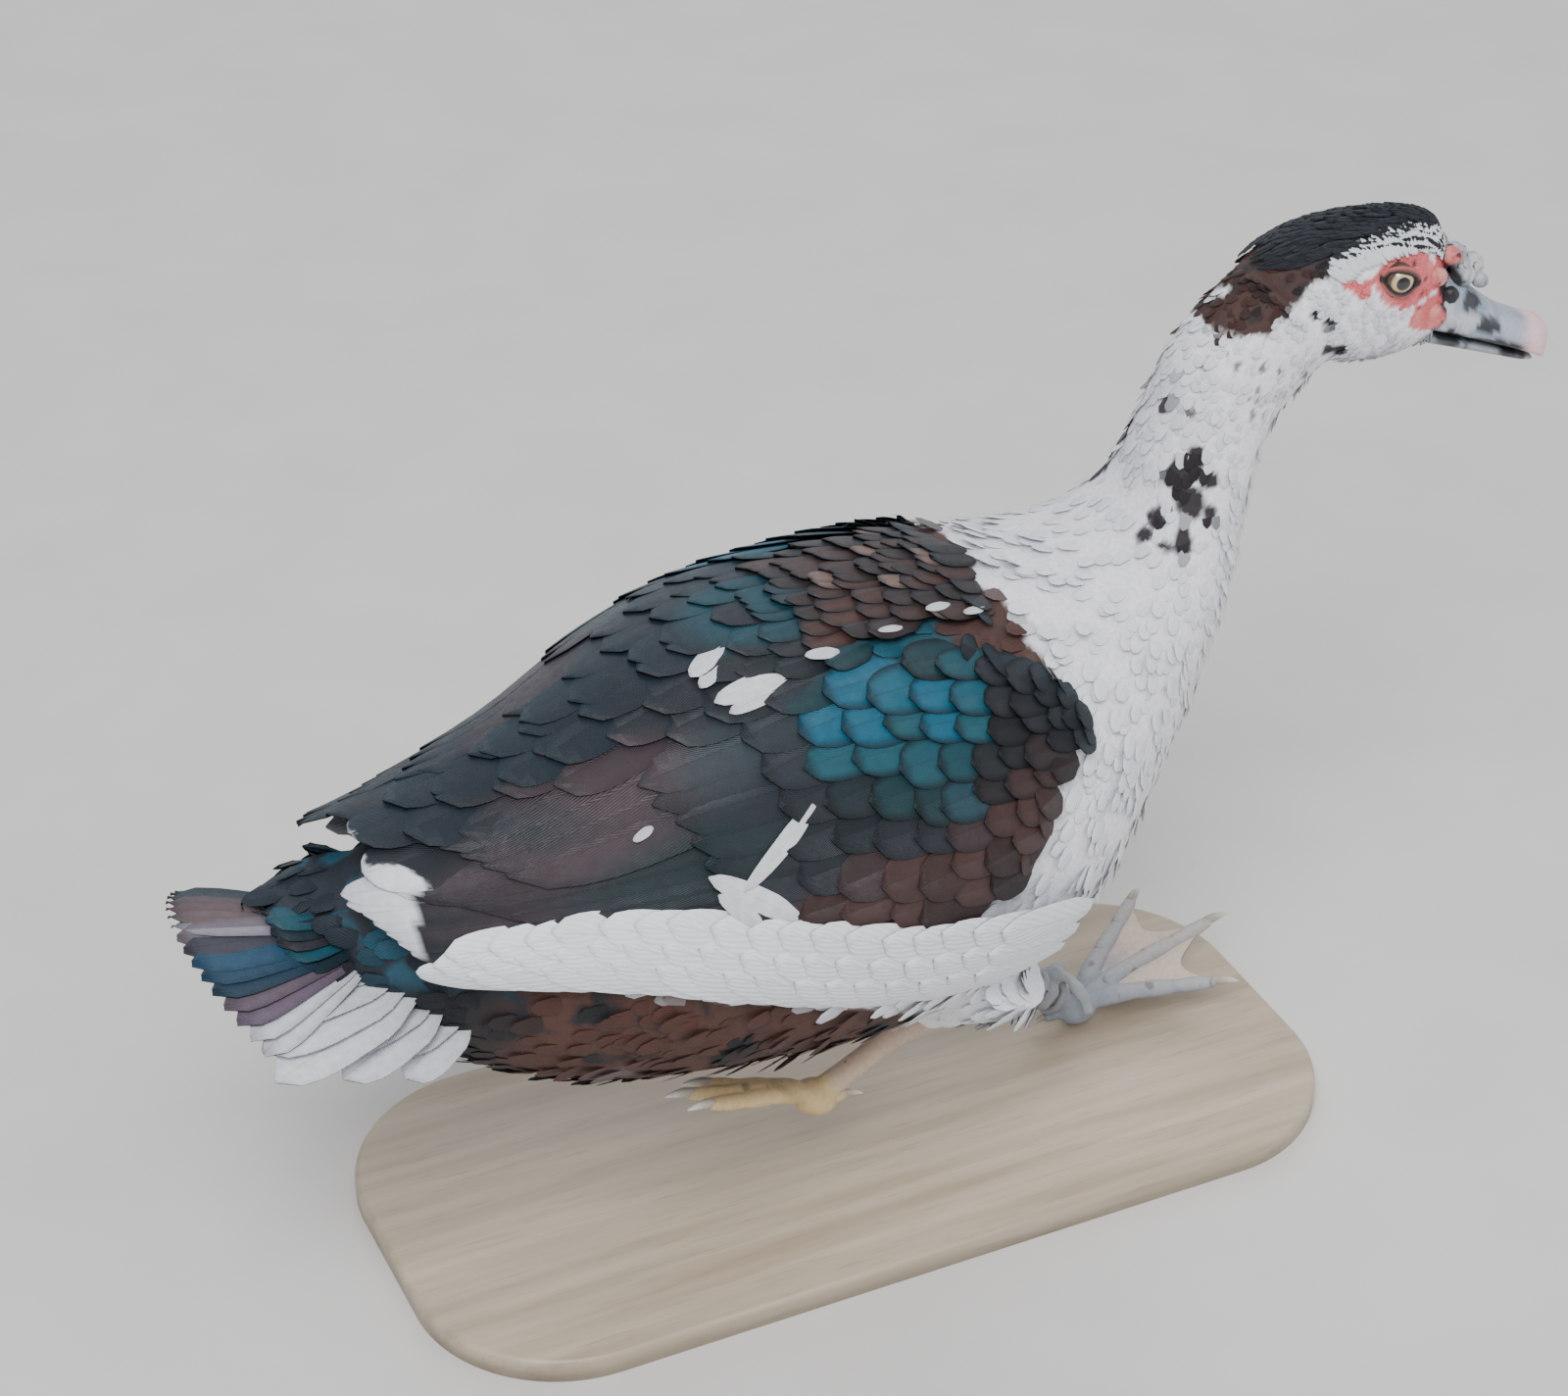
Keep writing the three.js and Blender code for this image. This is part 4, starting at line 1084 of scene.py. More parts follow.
def eye_material():
    """Pale tan iris with fine rays and a round pupil, painted by place on the ball"""
    m = Nodes("duck_eye")
    place = m.add("ShaderNodeUVMap", uv_map="Eye").outputs[0]
    split = m.add("ShaderNodeSeparateXYZ", {0: place})
    squares = [m.math("POWER", split.outputs[axis], 2.0) for axis in (0, 1)]
    radius = m.math("SQRT", m.math("ADD", squares[0], squares[1]))
    angle = m.math("ARCTAN2", split.outputs[1], split.outputs[0])
    rays = m.math("SINE", m.math("MULTIPLY", angle, 46.0))
    iris = m.mix(m.ramp(rays, -1, 1, 0.0, 0.35), (0.62, 0.47, 0.24, 1), (0.36, 0.25, 0.12, 1))
    iris = m.mix(m.ramp(radius, 0.62, 0.74), iris, (0.07, 0.045, 0.03, 1))
    colour = m.mix(m.ramp(radius, 0.42, 0.46), (0.003, 0.003, 0.004, 1), iris)
    m.shader.inputs["Coat Weight"].default_value = 1.0
    m.shader.inputs["Coat Roughness"].default_value = 0.02
    return m.finish(Base_Color=colour, Roughness=0.25)


def cloth_material():
    m = Nodes("rag_cloth")
    place = m.add("ShaderNodeTexCoord").outputs["Object"]
    threads = {"Vector": place, "Scale": 900.0, "Distortion": 1.5}
    warp = m.add("ShaderNodeTexWave", threads, bands_direction="X")
    weft = m.add("ShaderNodeTexWave", threads, bands_direction="Z")
    weave = m.math("MULTIPLY", warp.outputs["Fac"], weft.outputs["Fac"])
    dirt = m.noise(90.0, 5.0)
    colour = m.mix(m.ramp(dirt, 0.3, 0.7), (0.30, 0.32, 0.35, 1), (0.55, 0.57, 0.60, 1))
    colour = m.mix(m.ramp(weave, 0.0, 0.8, 0.4, 0.0), colour, (0.16, 0.17, 0.19, 1))
    m.shader.inputs["Sheen Weight"].default_value = 0.3
    return m.finish(Base_Color=colour, Roughness=0.9, Normal=m.bump(weave, 0.0003, 0.8))


def board_material():
    m = Nodes("base_wood")
    stretch = {0: m.add("ShaderNodeTexCoord").outputs["Object"], 3: (2.0, 30.0, 30.0)}
    place = m.add("ShaderNodeMapping", stretch).outputs[0]
    grain = m.noise(3.0, 8.0, place)
    fine = m.noise(22.0, 4.0, place)
    colour = m.mix(m.ramp(grain, 0.35, 0.68), (0.36, 0.29, 0.21, 1), (0.50, 0.42, 0.32, 1))
    colour = m.mix(m.ramp(fine, 0.55, 0.75, 0.0, 0.4), colour, (0.24, 0.18, 0.12, 1))
    m.shader.inputs["Coat Weight"].default_value = 0.15
    m.shader.inputs["Coat Roughness"].default_value = 0.3
    roughness = m.ramp(grain, 0.3, 0.7, 0.42, 0.58)
    return m.finish(Base_Color=colour, Roughness=roughness, Normal=m.bump(fine, 0.0003, 0.4))


def dress(piece, material, slot, *nodes):
    piece.data.materials.clear()
    piece.data.materials.append(material)
    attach(piece, "root")
    if nodes:
        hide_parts(*nodes)


# Skin: trunk, neck, head and thighs as one surface

def on_ground(p):
    return np.array(p, float) + [0, 0, GROUND]


def make_skin():
    q = np.linspace(0, 2 * np.pi, 56, endpoint=False)
    trunk = closed_loft([body_point(np.full(56, t), q) for t in np.linspace(0, len(BODY) - 1, 120)])
    skull = closed_loft([skull_point(np.full(56, t), q) for t in np.linspace(0, len(SKULL) - 1, 60)])
    lofts = [trunk, skull]
    tail_root = [on_ground((-200, 0, 166)), on_ground((-215, 0, 170)), on_ground((-232, 0, 175))]
    lofts.append(limb(tail_root, [26, 22, 10], 30, 0.8))
    for leg in LEGS.values():
        knee, hock = on_ground(leg["knee"]), on_ground(leg["hock"])
        path = [knee + (hock - knee) * t for t in (0, 0.3, 0.6, 0.85, 1.04)]
        lofts.append(limb(path, [29, 27, 19.5, 12.5, 9.0], 30))
    skin = fuse("skin", lofts, 1.8, 14, COAT)
    p = points_of(skin)
    h = to_head(p)
    # The cheek sinks round the eye and the brow stands over it
    side = np.sign(h[:, 1])
    near_eye = np.exp(-(((h[:, 0] - EYE[0]) / 8) ** 2 + ((h[:, 2] - EYE[2]) / 7) ** 2)) * (h[:, 0] > -20)
    h[:, 1] -= side * 0.8 * near_eye
    on_head = head_share(to_head(p), -31, -30) > 0.5
    p = np.where(on_head[:, None], from_head(h), p)
    set_points(skin, p)
    h = to_head(p)
    paint(skin, coat_tint(p))
    set_value(skin, "bare", bare_face(h) * (h[:, 0] > -30) * (h[:, 2] > -10))
    set_uv(skin, "OFBake", skin_spot(p))
    return skin


def skin_spot(p):
    """The skin laid flat: the trunk and neck by length and turn, the head beside them"""
    x, y, z = p[:, 0], p[:, 1], p[:, 2] - GROUND
    middle = np.interp(x, BODY[:, 0], (BODY[:, 1] + BODY[:, 3]) / 2)
    turn_round = np.arctan2(z - middle, y) / (2 * np.pi) + 0.5
    u = 0.02 + 0.62 * (x + 240) / 460
    h = to_head(p)
    head_turn = np.arctan2(h[:, 2], h[:, 1]) / (2 * np.pi) + 0.5
    head_u = 0.70 + 0.28 * (h[:, 0] + 60) / 105
    on_head = head_share(h, -45, -44) > 0.5
    v = 0.02 + 0.96 * np.where(on_head, head_turn, turn_round)
    return np.stack([np.where(on_head, head_u, u), v], -1)


def scatter(skin, spacing, keep):
    """Even places on the skin: points, normals. spacing gives a distance for each place."""
    mesh = skin.data
    mesh.calc_loop_triangles()
    tris = np.empty(len(mesh.loop_triangles) * 3, np.int32)
    mesh.loop_triangles.foreach_get("vertices", tris)
    tris = tris.reshape(-1, 3)
    p, n = points_of(skin), normals_of(skin)
    corner = p[tris]
    centre = corner.mean(1)
    chosen = keep(centre)
    tris, corner, centre = tris[chosen], corner[chosen], centre[chosen]
    area = np.linalg.norm(np.cross(corner[:, 1] - corner[:, 0], corner[:, 2] - corner[:, 0]), axis=1) / 2
    gap = spacing(centre)
    weight = area / gap ** 2
    count = int(weight.sum() * 3.2)
    pick = rng.choice(len(tris), count, p=weight / weight.sum())
    r1, r2 = np.sqrt(rng.random(count)), rng.random(count)
    w = np.stack([1 - r1, r1 * (1 - r2), r1 * r2], -1)[..., None]
    spots = (corner[pick] * w).sum(1)
    norms = unit((n[tris[pick]] * w).sum(1))
    gaps = gap[pick]
    # A place is kept where none kept before it lies closer than most of the gap
    taken, kept = {}, []
    cell = gaps.max()
    for i, (s, g) in enumerate(zip(spots, gaps)):
        key = tuple((s // cell).astype(int))
        around = itertools.product(*[(k - 1, k, k + 1) for k in key])
        near = [j for place in around for j in taken.get(place, ())]
        if not any((d := spots[j] - s) @ d < (0.8 * g) ** 2 for j in near):
            kept.append(i)
            taken.setdefault(key, []).append(i)
    return spots[kept], norms[kept], gaps[kept]


def thigh_place(leg, p):
    """The way down a thigh, and for each place how far down it lies and how far from its middle"""
    knee, hock = on_ground(leg["knee"]), on_ground(leg["hock"])
    down = hock - knee
    f = (p - knee) @ down / (down @ down)
    return down, f, np.linalg.norm(p - knee - f[:, None] * down, axis=1)


def thigh_share(f, away, start, end):
    """From 0 to 1 down a thigh between two fractions of it, and 0 away from it"""
    return smooth(f, start, end) * (1 - smooth(away, 24, 34))


def coat_flow(p, n):
    """The lie of the coat: back over the head, down the neck and back along the trunk"""
    h = to_head(p)
    back_head = np.array([-1, 0, -0.25]) @ HEAD_TURN.T
    x, z = p[:, 0], p[:, 2] - GROUND
    station = np.array([(BODY[:, 0] + BODY[:, 2]) / 2, (BODY[:, 1] + BODY[:, 3]) / 2]).T
    d = (x[:, None] - station[None, :, 0]) ** 2 + (z[:, None] - station[None, :, 1]) ** 2
    i = np.clip(d.argmin(1), 1, len(BODY) - 2)
    run = station[i - 1] - station[i + 1]
    flow = np.stack([run[:, 0], np.zeros(len(p)), run[:, 1]], -1)
    flow = unit(flow)
    for leg in LEGS.values():
        down, f, away = thigh_place(leg, p)
        near = thigh_share(f, away, 0.25, 0.5)[:, None]
        flow = flow * (1 - near) + unit(down) * near
    on_head = head_share(h, -50, -30)
    flow = flow * (1 - on_head[:, None]) + back_head * on_head[:, None]
    face = smooth(h[:, 0], 20, 34)[:, None]
    flow = flow - n * (flow * n).sum(1, keepdims=True)
    return unit(flow + 0.12 * rng.standard_normal(p.shape) * (1 - face))


# Where the pieces of the coat meet: the neck by height, the breast and the rear by length
NECK_FROM, BREAST_FROM, REAR_FROM = 245, 64, -60


def make_coat(skin, materials):
    """Small feathers over the skin, smallest on the face"""
    def gap(p):
        h = to_head(p)
        size = np.interp(p[:, 0], [-220, -100, 30, 70, 100, 135], [4.6, 5.0, 4.8, 4.2, 3.4, 2.8])
        size *= np.interp(p[:, 2], [50, 84], [0.55, 1.0])
        face = np.interp(h[:, 0], [-60, -40, 0, 39], [2.6, 2.2, 1.8, 1.5])
        share = head_share(h, -62, -50)
        return size * (1 - share) + face * share

    def clear(p):
        h = to_head(p)
        eye = np.hypot(h[:, 0] - EYE[0], h[:, 2] - EYE[2]) < 9
        face = (bare_face(h) > 0.5) & (h[:, 0] > -20) & (h[:, 2] > -12)
        over = (np.hypot((h[:, 0] - 15) / 17, (h[:, 2] - 20) / 13) < 1) & (h[:, 2] > 20)
        bill = h[:, 0] > 38
        return ~(over | face | bill | (eye & (h[:, 0] > 0)))

    def covered(p):
        """Under the folded wing and back feathers, or round a hock"""
        x, row = p[:, 0], wing_row(p[:, 0])
        out, up = abs(p[:, 1] - sway(x)) / row[:, 1], (p[:, 2] - GROUND - row[:, 3]) / row[:, 2]
        angle = np.degrees(np.arctan2(out, up))
        bare = (angle < 30) & (x < 24)
        for leg in LEGS.values():
            _, f, away = thigh_place(leg, p)
            bare = bare | ((f > 0.8) & (away < 20))
        below = (angle > 20) & (angle < flank_top(x) - 2)
        return bare | (below & (x < wing_front(angle) - 12) & (x > -200))

    def on_head(p):
        return head_share(to_head(p), -46, -45) > 0.5

    def trunk(p):
        return (p[:, 0] <= BREAST_FROM) & (p[:, 2] <= NECK_FROM) & ~covered(p)

    regions = {
        "coat_head": lambda p: on_head(p) & clear(p),
        "coat_neck": lambda p: ~on_head(p) & (p[:, 2] > NECK_FROM),
        "coat_breast": lambda p: ~on_head(p) & (p[:, 2] <= NECK_FROM) & (p[:, 0] > BREAST_FROM),
        "coat_front": lambda p: trunk(p) & (p[:, 0] > REAR_FROM),
        "coat_rear": lambda p: trunk(p) & (p[:, 0] <= REAR_FROM),
    }
    for name, keep in regions.items():
        spots, norms, gaps = scatter(skin, gap, keep)
        aims = coat_flow(spots, norms)
        norms = unit(norms - aims * (norms * aims).sum(1, keepdims=True))
        lengths = gaps * 2.9 * (0.9 + 0.25 * rng.random(len(gaps)))
        widths = gaps * 1.7
        for leg in LEGS.values():
            _, f, away = thigh_place(leg, spots)
            lengths *= 1 - 0.45 * thigh_share(f, away, 0.3, 0.7)
        lift = np.minimum(0.05 * gaps, 0.4) * (0.3 + 1.0 * rng.random(len(gaps)))
        tints = coat_tint(spots + aims * (lengths * 0.5)[:, None])
        tints = tints * (0.95 + 0.08 * rng.random((len(gaps), 1)))
        bend = np.interp(spots[:, 0], [-225, -185, -120, 200], [0.016, 0.008, 0.002, 0.001])
        if name == "coat_head":
            bend = bend + 0.02 * smooth(-to_head(spots)[:, 0], 10, 30)
        thick = 0.08 if name in ("coat_head", "coat_neck") else 0.12
        places = skin_spot(spots)
        piece = small_feathers(
            name, spots, aims, norms, lengths, widths, lift, bend, tints, places, thick
        )
        dress(piece, materials["down"], "white_feather")


# Head parts

def make_head_parts(materials):
    # Middle and half sizes of each lump in the head's own frame
    lumps = [
        ((40, 0, 25), (5.4, 5, 5)), ((47.5, 0, 22), (5.6, 5, 5)), ((35, 7, 27), (4.6, 3.4, 3.6)),
        ((35, -7, 27), (4.6, 3.4, 3.6)), ((30, 11, 19.5), (4.4, 3, 4)), ((30, -11, 19.5), (4.4, 3, 4)),
        ((44, 4.4, 19), (5, 4, 4.4)), ((44, -4.4, 19), (5, 4, 4.4)), ((53, 2.5, 17), (3.4, 3, 3)),
        ((53, -2.5, 17), (3.4, 3, 3)), ((34, 11.4, 4), (5.6, 2.6, 5.6)), ((34, -11.4, 4), (5.6, 2.6, 5.6)),
        ((39, 9, 12), (3.5, 3, 4)), ((39, -9, 12), (3.5, 3, 4)),
    ]
    shapes = []
    for centre, size in lumps:
        points, faces = ball(np.array(centre, float), np.array(size, float))
        shapes.append((from_head(points), faces))
    caruncles = fuse("caruncles", shapes, 0.55, 9)
    p, n = points_of(caruncles), normals_of(caruncles)
    p = p + n * (0.22 * ripple(p, 1.6, 3) + 0.15 * ripple(p, 0.7, 5))[:, None]
    set_points(caruncles, p)
    h = to_head(p)
    wave = ripple(h, 2.2, 7)
    tint = blend(RED, (0.88, 0.36, 0.32), smooth(wave, -0.2, 1.0))
    grey = smooth(h[:, 0] + 1.2 * wave - 0.9 * np.maximum(abs(h[:, 1]) - 3.5, 0), 33.5, 36)
    tint = blend(tint, blend((0.42, 0.46, 0.52), (0.70, 0.70, 0.74), smooth(wave, -0.4, 0.6)), grey)
    lore = np.hypot((h[:, 0] - 38.5) / 5.5, (h[:, 2] - 14) / 8)
    tint = blend(tint, (0.02, 0.018, 0.022), 1 - smooth(lore, 0.8, 1.1))
    tint = blend(tint, (0.05, 0.03, 0.035), smooth(ripple(h, 1.0, 9), 0.8, 1.0))
    paint(caruncles, tint)
    set_uv(caruncles, "OFBake", skin_spot(p))
    dress(caruncles, materials["wattle"], "bare_skin")
    make_bill(materials)
    for side, name in ((1, "left"), (-1, "right")):
        make_eye(side, name, materials)


def bill_rings(sections, crown, count, columns=40):
    rings = []
    q = np.linspace(0, 2 * np.pi, columns, endpoint=False)
    for t in np.linspace(0, len(sections) - 1, count):
        x, w, top, low = along(sections, np.array(t))
        middle = low + (top - low) * crown
        c, s = oval(q, 2.4)
        z = middle + np.where(s > 0, s * (top - middle), s * (middle - low))
        rings.append(np.stack([np.full(columns, x), c * w, z], -1))
    return rings


# Dark spots on the bill: middle x, z and reach each way
BILL_SPOTS = [(58, 3, 6.5, 3.2), (49, 10, 4.5, 3), (66, -4.2, 12, 2.2), (46, -1, 5, 3), (76, -6, 8, 2)]


def make_bill(materials):
    upper = solid_mesh("bill_upper_skin", *closed_loft(bill_rings(UPPER_BILL, 0.25, 60)))
    h = points_of(upper)
    for side in (1, -1):
        d = np.hypot((h[:, 0] - 55) / 3.6, (h[:, 2] - 7.2 + 0.3 * (h[:, 0] - 55)) / 1.7)
        pull = np.exp(-d ** 4) * (side * h[:, 1] > 3)
        h[:, 1] -= side * 2.6 * pull
    ridge = np.exp(-((h[:, 0] - 84) / 5) ** 2) * (abs(h[:, 1]) < 6) * (h[:, 2] > -5)
    h[:, 2] += 0.7 * ridge * (1 - (h[:, 1] / 6) ** 2)
    wave, fine = ripple(h, 4.5, 3), ripple(h, 1.6, 8)
    tint = blend((0.30, 0.36, 0.45), (0.42, 0.46, 0.55), smooth(wave, -0.5, 0.7))
    for cx, cz, rx, rz in BILL_SPOTS:
        d = np.hypot((h[:, 0] - cx) / rx, (h[:, 2] - cz) / rz) + 0.3 * wave + 0.15 * fine
        tint = blend(tint, (0.02, 0.024, 0.032), 1 - smooth(d, 0.75, 1.1))
    pale = smooth(wave + fine, 0.5, 1.2) * (h[:, 0] < 60)
    tint = blend(tint, (0.62, 0.63, 0.66), 0.7 * pale)
    tint = blend(tint, (0.86, 0.58, 0.62), smooth(h[:, 0] + 1.2 * wave, 73, 79))
    paint(upper, tint)
    set_uv(upper, "OFBake", np.stack([h[:, 0] / 100, 0.5 + h[:, 2] / 100], -1))
    set_points(upper, from_head(h))
    dress(upper, materials["bill"], "bill_horn", "bill_upper")
    lower = solid_mesh("bill_lower_skin", *closed_loft(bill_rings(LOWER_BILL, 0.7, 40)))
    h = points_of(lower)
    tint = blend((0.03, 0.035, 0.045), (0.34, 0.38, 0.42), smooth(ripple(h, 5, 2), 0.2, 0.9))
    paint(lower, tint)
    set_uv(lower, "OFBake", np.stack([h[:, 0] / 100, 0.2 + h[:, 2] / 100], -1))
    set_points(lower, from_head(h))
    dress(lower, materials["bill"], "bill_horn", "bill_lower")


def make_eye(side, name, materials):
    centre = np.array([EYE[0], side * EYE[1], EYE[2]])
    points, faces = ball(np.zeros(3), np.ones(3) * EYE_RADIUS, 40, 26)
    eye = solid_mesh("eyeball_" + name, points[:, [1, 0, 2]], faces)
    p = points_of(eye)
    set_uv(eye, "Eye", p[:, [0, 2]] / EYE_RADIUS)
    set_uv(eye, "OFBake", 0.5 + p[:, [0, 2]] / 40)
    set_points(eye, from_head(p + centre))
    dress(eye, materials["eye"], "eye_gloss", "eye_" + name)
    make_lids(side, name, centre, materials)


LID_WIDE, LID_TALL, LID_TILT = 7.2, 5.0, 0.16
LID_DARK = (0.02, 0.016, 0.018)


def make_lids(side, name, centre, materials):
    """Almond rims with dark corners that ride over the ball"""
    count, round_count = 72, 10
    turns = np.linspace(0, 2 * np.pi, count, endpoint=False)
    r = np.linspace(0, 2 * np.pi, round_count, endpoint=False)
    rings = []
    for q in turns:
        x, z = LID_WIDE * math.cos(q), LID_TALL * math.sin(q) * (1 - 0.25 * abs(math.cos(q)) ** 3)
        x, z = x - LID_TILT * z, z + LID_TILT * x * 0.3
        depth = math.sqrt(max((EYE_RADIUS + 0.7) ** 2 - min(x * x + z * z, 42), 3.0))
        spot = centre + [x, side * depth, z]
        out = unit(np.array([x, 0, z]))
        thick = 0.9 + 0.2 * math.sin(q)
        across, over = np.cos(r)[:, None] * out, np.sin(r)[:, None] * np.array([0, side, 0])
        rings.append(spot + thick * (1.5 * across + over))
    points = np.array(rings).reshape(-1, 3)
    faces = []
    for i, j in itertools.product(range(count), range(round_count)):
        here, after = i * round_count, (i + 1) % count * round_count
        m = (j + 1) % round_count
        faces.append([here + j, here + m, after + m, after + j])
    lids = solid_mesh("lids_" + name, from_head(points), faces)
    inner = np.tile(np.cos(r), count)
    corner = abs(np.repeat(np.cos(turns), round_count))
    tint = blend((0.60, 0.17, 0.16), LID_DARK, smooth(-inner, -0.75, 0.1))
    tint = blend(tint, LID_DARK, smooth(corner, 0.9, 0.99))
    paint(lids, tint)
    set_uv(lids, "OFBake", skin_spot(from_head(points)))
    dress(lids, materials["wattle"], "bare_skin")


def make_crest(materials):
    """Loose crest feathers over the crown, and the white brow that rays out over the eye"""
    feathers = Plumage()

    def add(x, q, length, width, rise, turn_out, colour, rim=0.2):
        """A feather from a place on the skull, along the skull and turned from the back towards higher q"""
        def place(tt, across, height):
            ahead = np.clip(x - length * tt * math.cos(turn_out) + across * math.sin(turn_out), -42, 38)
            t = np.interp(ahead, SKULL[:, 0], np.arange(len(SKULL)))
            row = along(SKULL, t)
            sideways = length * tt * math.sin(turn_out) + across * math.cos(turn_out)
            spot = to_head(skull_point(t, q + sideways * 2 / (row[..., 1] + row[..., 2])))
            normal = unit(spot * [0.4 * (x > 20), 1, 1] / np.array([1, 1, 2.4]))
            return from_head(spot + (height + rise * tt ** 1.3 - 1.0)[..., None] * normal)

        top, low, tt, ss = vane_grid(place, width, 0, 0.3, 0.1, thick=0.18, rows=7, columns=5, tip=0.6)
        tint = np.broadcast_to(np.array(colour), tt.shape + (3,))
        feathers.add(top, low, tt, ss, tint, skin_spot(top[3, 2][None])[0], rim)

    for x in np.arange(35, -32, -2.0):
        reach = 0.66 if x > 0 else 0.8
        for q in np.arange(np.pi / 2 - reach, np.pi / 2 + reach, 0.13):
            x1, q1 = x + rng.normal(0, 0.7), q + rng.normal(0, 0.04)
            dark = np.array(BLACK) * (0.8 + 1.2 * rng.random()) + (0.0, 0.003, 0.005)
            rise = 0.5 + 0.5 * rng.random()
            add(min(x1, 35), q1, 8 + 4 * rng.random(), 2.4, rise, rng.normal(0, 0.10), dark)
    for side in (1, -1):
        for x in np.arange(30, -11, -1.2):
            for row in range(3):
                up = float(np.interp(x, [-10, 0, 10, 20, 30], [0.46, 0.64, 0.75, 0.80, 0.86]))
                up += 0.09 * row + rng.normal(0, 0.02)
                q = up if side > 0 else np.pi - up
                ray = float(np.interp(x, [-10, 8, 20, 30], [0.4, 0.9, 1.35, 1.7])) + rng.normal(0, 0.08)
                tone = np.array(WHITE) * (0.94 + 0.08 * rng.random())
                add(x, q, 6.0 + 2.5 * rng.random(), 2.0, 0.7, side * ray, tone, 0.0)
    crest = feathers.build("crest_feathers")
    dress(crest, materials["down"], "dark_feather")


# Legs and feet

def toe_path(side, name, steps=14):
    foot = FEET[side]
    spread = {"inner": -foot["spread"], "middle": 0, "outer": foot["spread"], "hind": 165}
    angle = math.radians(spread[name])
    t = np.linspace(0, 1, steps)
    away = TOES[name] * foot["reach"] * t
    if name == "hind":
        lift = 1.5 - 1.2 * t
    else:
        lift = 0.6 + 4 * np.sin(np.pi * t) * (1 - t) - 1.2 * t
    return np.stack([away * math.cos(angle), away * math.sin(angle), lift + foot["curl"] * t * t], -1)


def make_leg(side, materials):
    leg, foot = LEGS[side], FEET[side]
    hock, base = on_ground(leg["hock"]), on_ground(leg["ball"])
    spin = turn(foot["yaw"], -foot["pitch"])

    def placed(points):
        return points @ spin.T + base

    shapes = []
    path = [hock + (base - hock) * t for t in (0, 0.12, 0.3, 0.5, 0.7, 0.88, 1.0)]
    shapes.append(limb(path, [6.5, 6.2, 5.0, 4.7, 4.9, 5.3, 5.4], 30))
    knuckle = ball(np.zeros(3), np.array([9.2, 8.4, 7.2]))
    shapes.append((placed(knuckle[0]), knuckle[1]))
    paths = {name: toe_path(side, name) for name in TOES}
    for name, points in paths.items():
        tip = 2.6 if name == "hind" else 2.9
        t = np.linspace(0, 1, len(points))
        joints = 0.28 * np.cos(2 * np.pi * t * (1.5 if name == "hind" else 3.5))
        radii = 4.9 + (tip - 4.9) * t + joints
        tube = limb(points, radii, 20, 0.85)
        shapes.append((placed(tube[0]), tube[1]))
    fused = fuse("foot_skin_" + side, shapes, 0.75, 3)
    if side == "left":
        keep_off_ground(fused)
    p = points_of(fused)
    local = (p - base) @ spin
    wave = ripple(p, 5, 2)
    if side == "left":
        on_shank = smooth(p[:, 2] - base[2], 6, 14)
        toe_colour, shank_colour = GREY_TOE, (0.52, 0.48, 0.46)
    else:
        on_shank = smooth((p - base) @ unit(hock - base), 6, 12)
        toe_colour, shank_colour = (0.74, 0.55, 0.28), (0.66, 0.50, 0.38)
    tint = blend(toe_colour, np.array(toe_colour) * 0.72, smooth(wave, 0.1, 1.0))
    tint = blend(tint, shank_colour, on_shank)
    tint = blend(tint, (0.12, 0.10, 0.09), 0.6 * smooth(ripple(p, 2.3, 6), 0.8, 1.1))
    paint(fused, tint)
    set_uv(fused, "OFBake", np.stack([0.5 + local[:, 0] / 200, 0.5 + local[:, 1] / 200], -1))
    dress(fused, materials["scutes"], "foot_skin", "shank_" + side, "foot_" + side)
    for pair in (("inner", "middle"), ("middle", "outer")):
        make_web(side, pair, [paths[name] for name in pair], placed, materials)
    for name, points in paths.items():
        make_claw(side, name, points, placed, materials)


def make_web(side, pair, paths, placed, materials):
    """Thin webs with a scalloped front edge and faint folds"""
    rows, columns = 20, 17
    tops = []
    for t in np.linspace(0.04, 1, rows):
        line = []
        for s in np.linspace(0, 1, columns):
            reach = 0.97 - 0.2 * math.sin(math.pi * s)
            a = along(paths[0], np.array(t * reach * (len(paths[0]) - 1)))
            b = along(paths[1], np.array(t * reach * (len(paths[1]) - 1)))
            point = a + (b - a) * s
            point[2] += 0.6 - 1.7 * math.sin(math.pi * s) * t + 0.35 * math.sin(9 * s + 4 * t) * t
            line.append(point)
        tops.append(line)
    tops = np.array(tops)
    t, s = np.meshgrid(np.linspace(0, 1, rows), np.linspace(-1, 1, columns), indexing="ij")
    web = Plumage()
    tint = blend((0.80, 0.66, 0.56), (0.50, 0.46, 0.48), smooth(ripple(tops, 6, 3), 0.2, 1.2))
    by_toe = GREY_TOE if side == "left" else (0.70, 0.52, 0.28)
    tint = blend(tint, by_toe, smooth(abs(s), 0.75, 1.0))
    thickness = np.array([0, 0, 0.45])
    web.add(placed(tops + thickness), placed(tops - thickness), t, s, tint, np.array([0.5, 0.5]), 0.0)
    piece = web.build("web_" + side + "_" + pair[0])
    if side == "left":
        keep_off_ground(piece)
    dress(piece, materials["scutes"], "foot_skin")


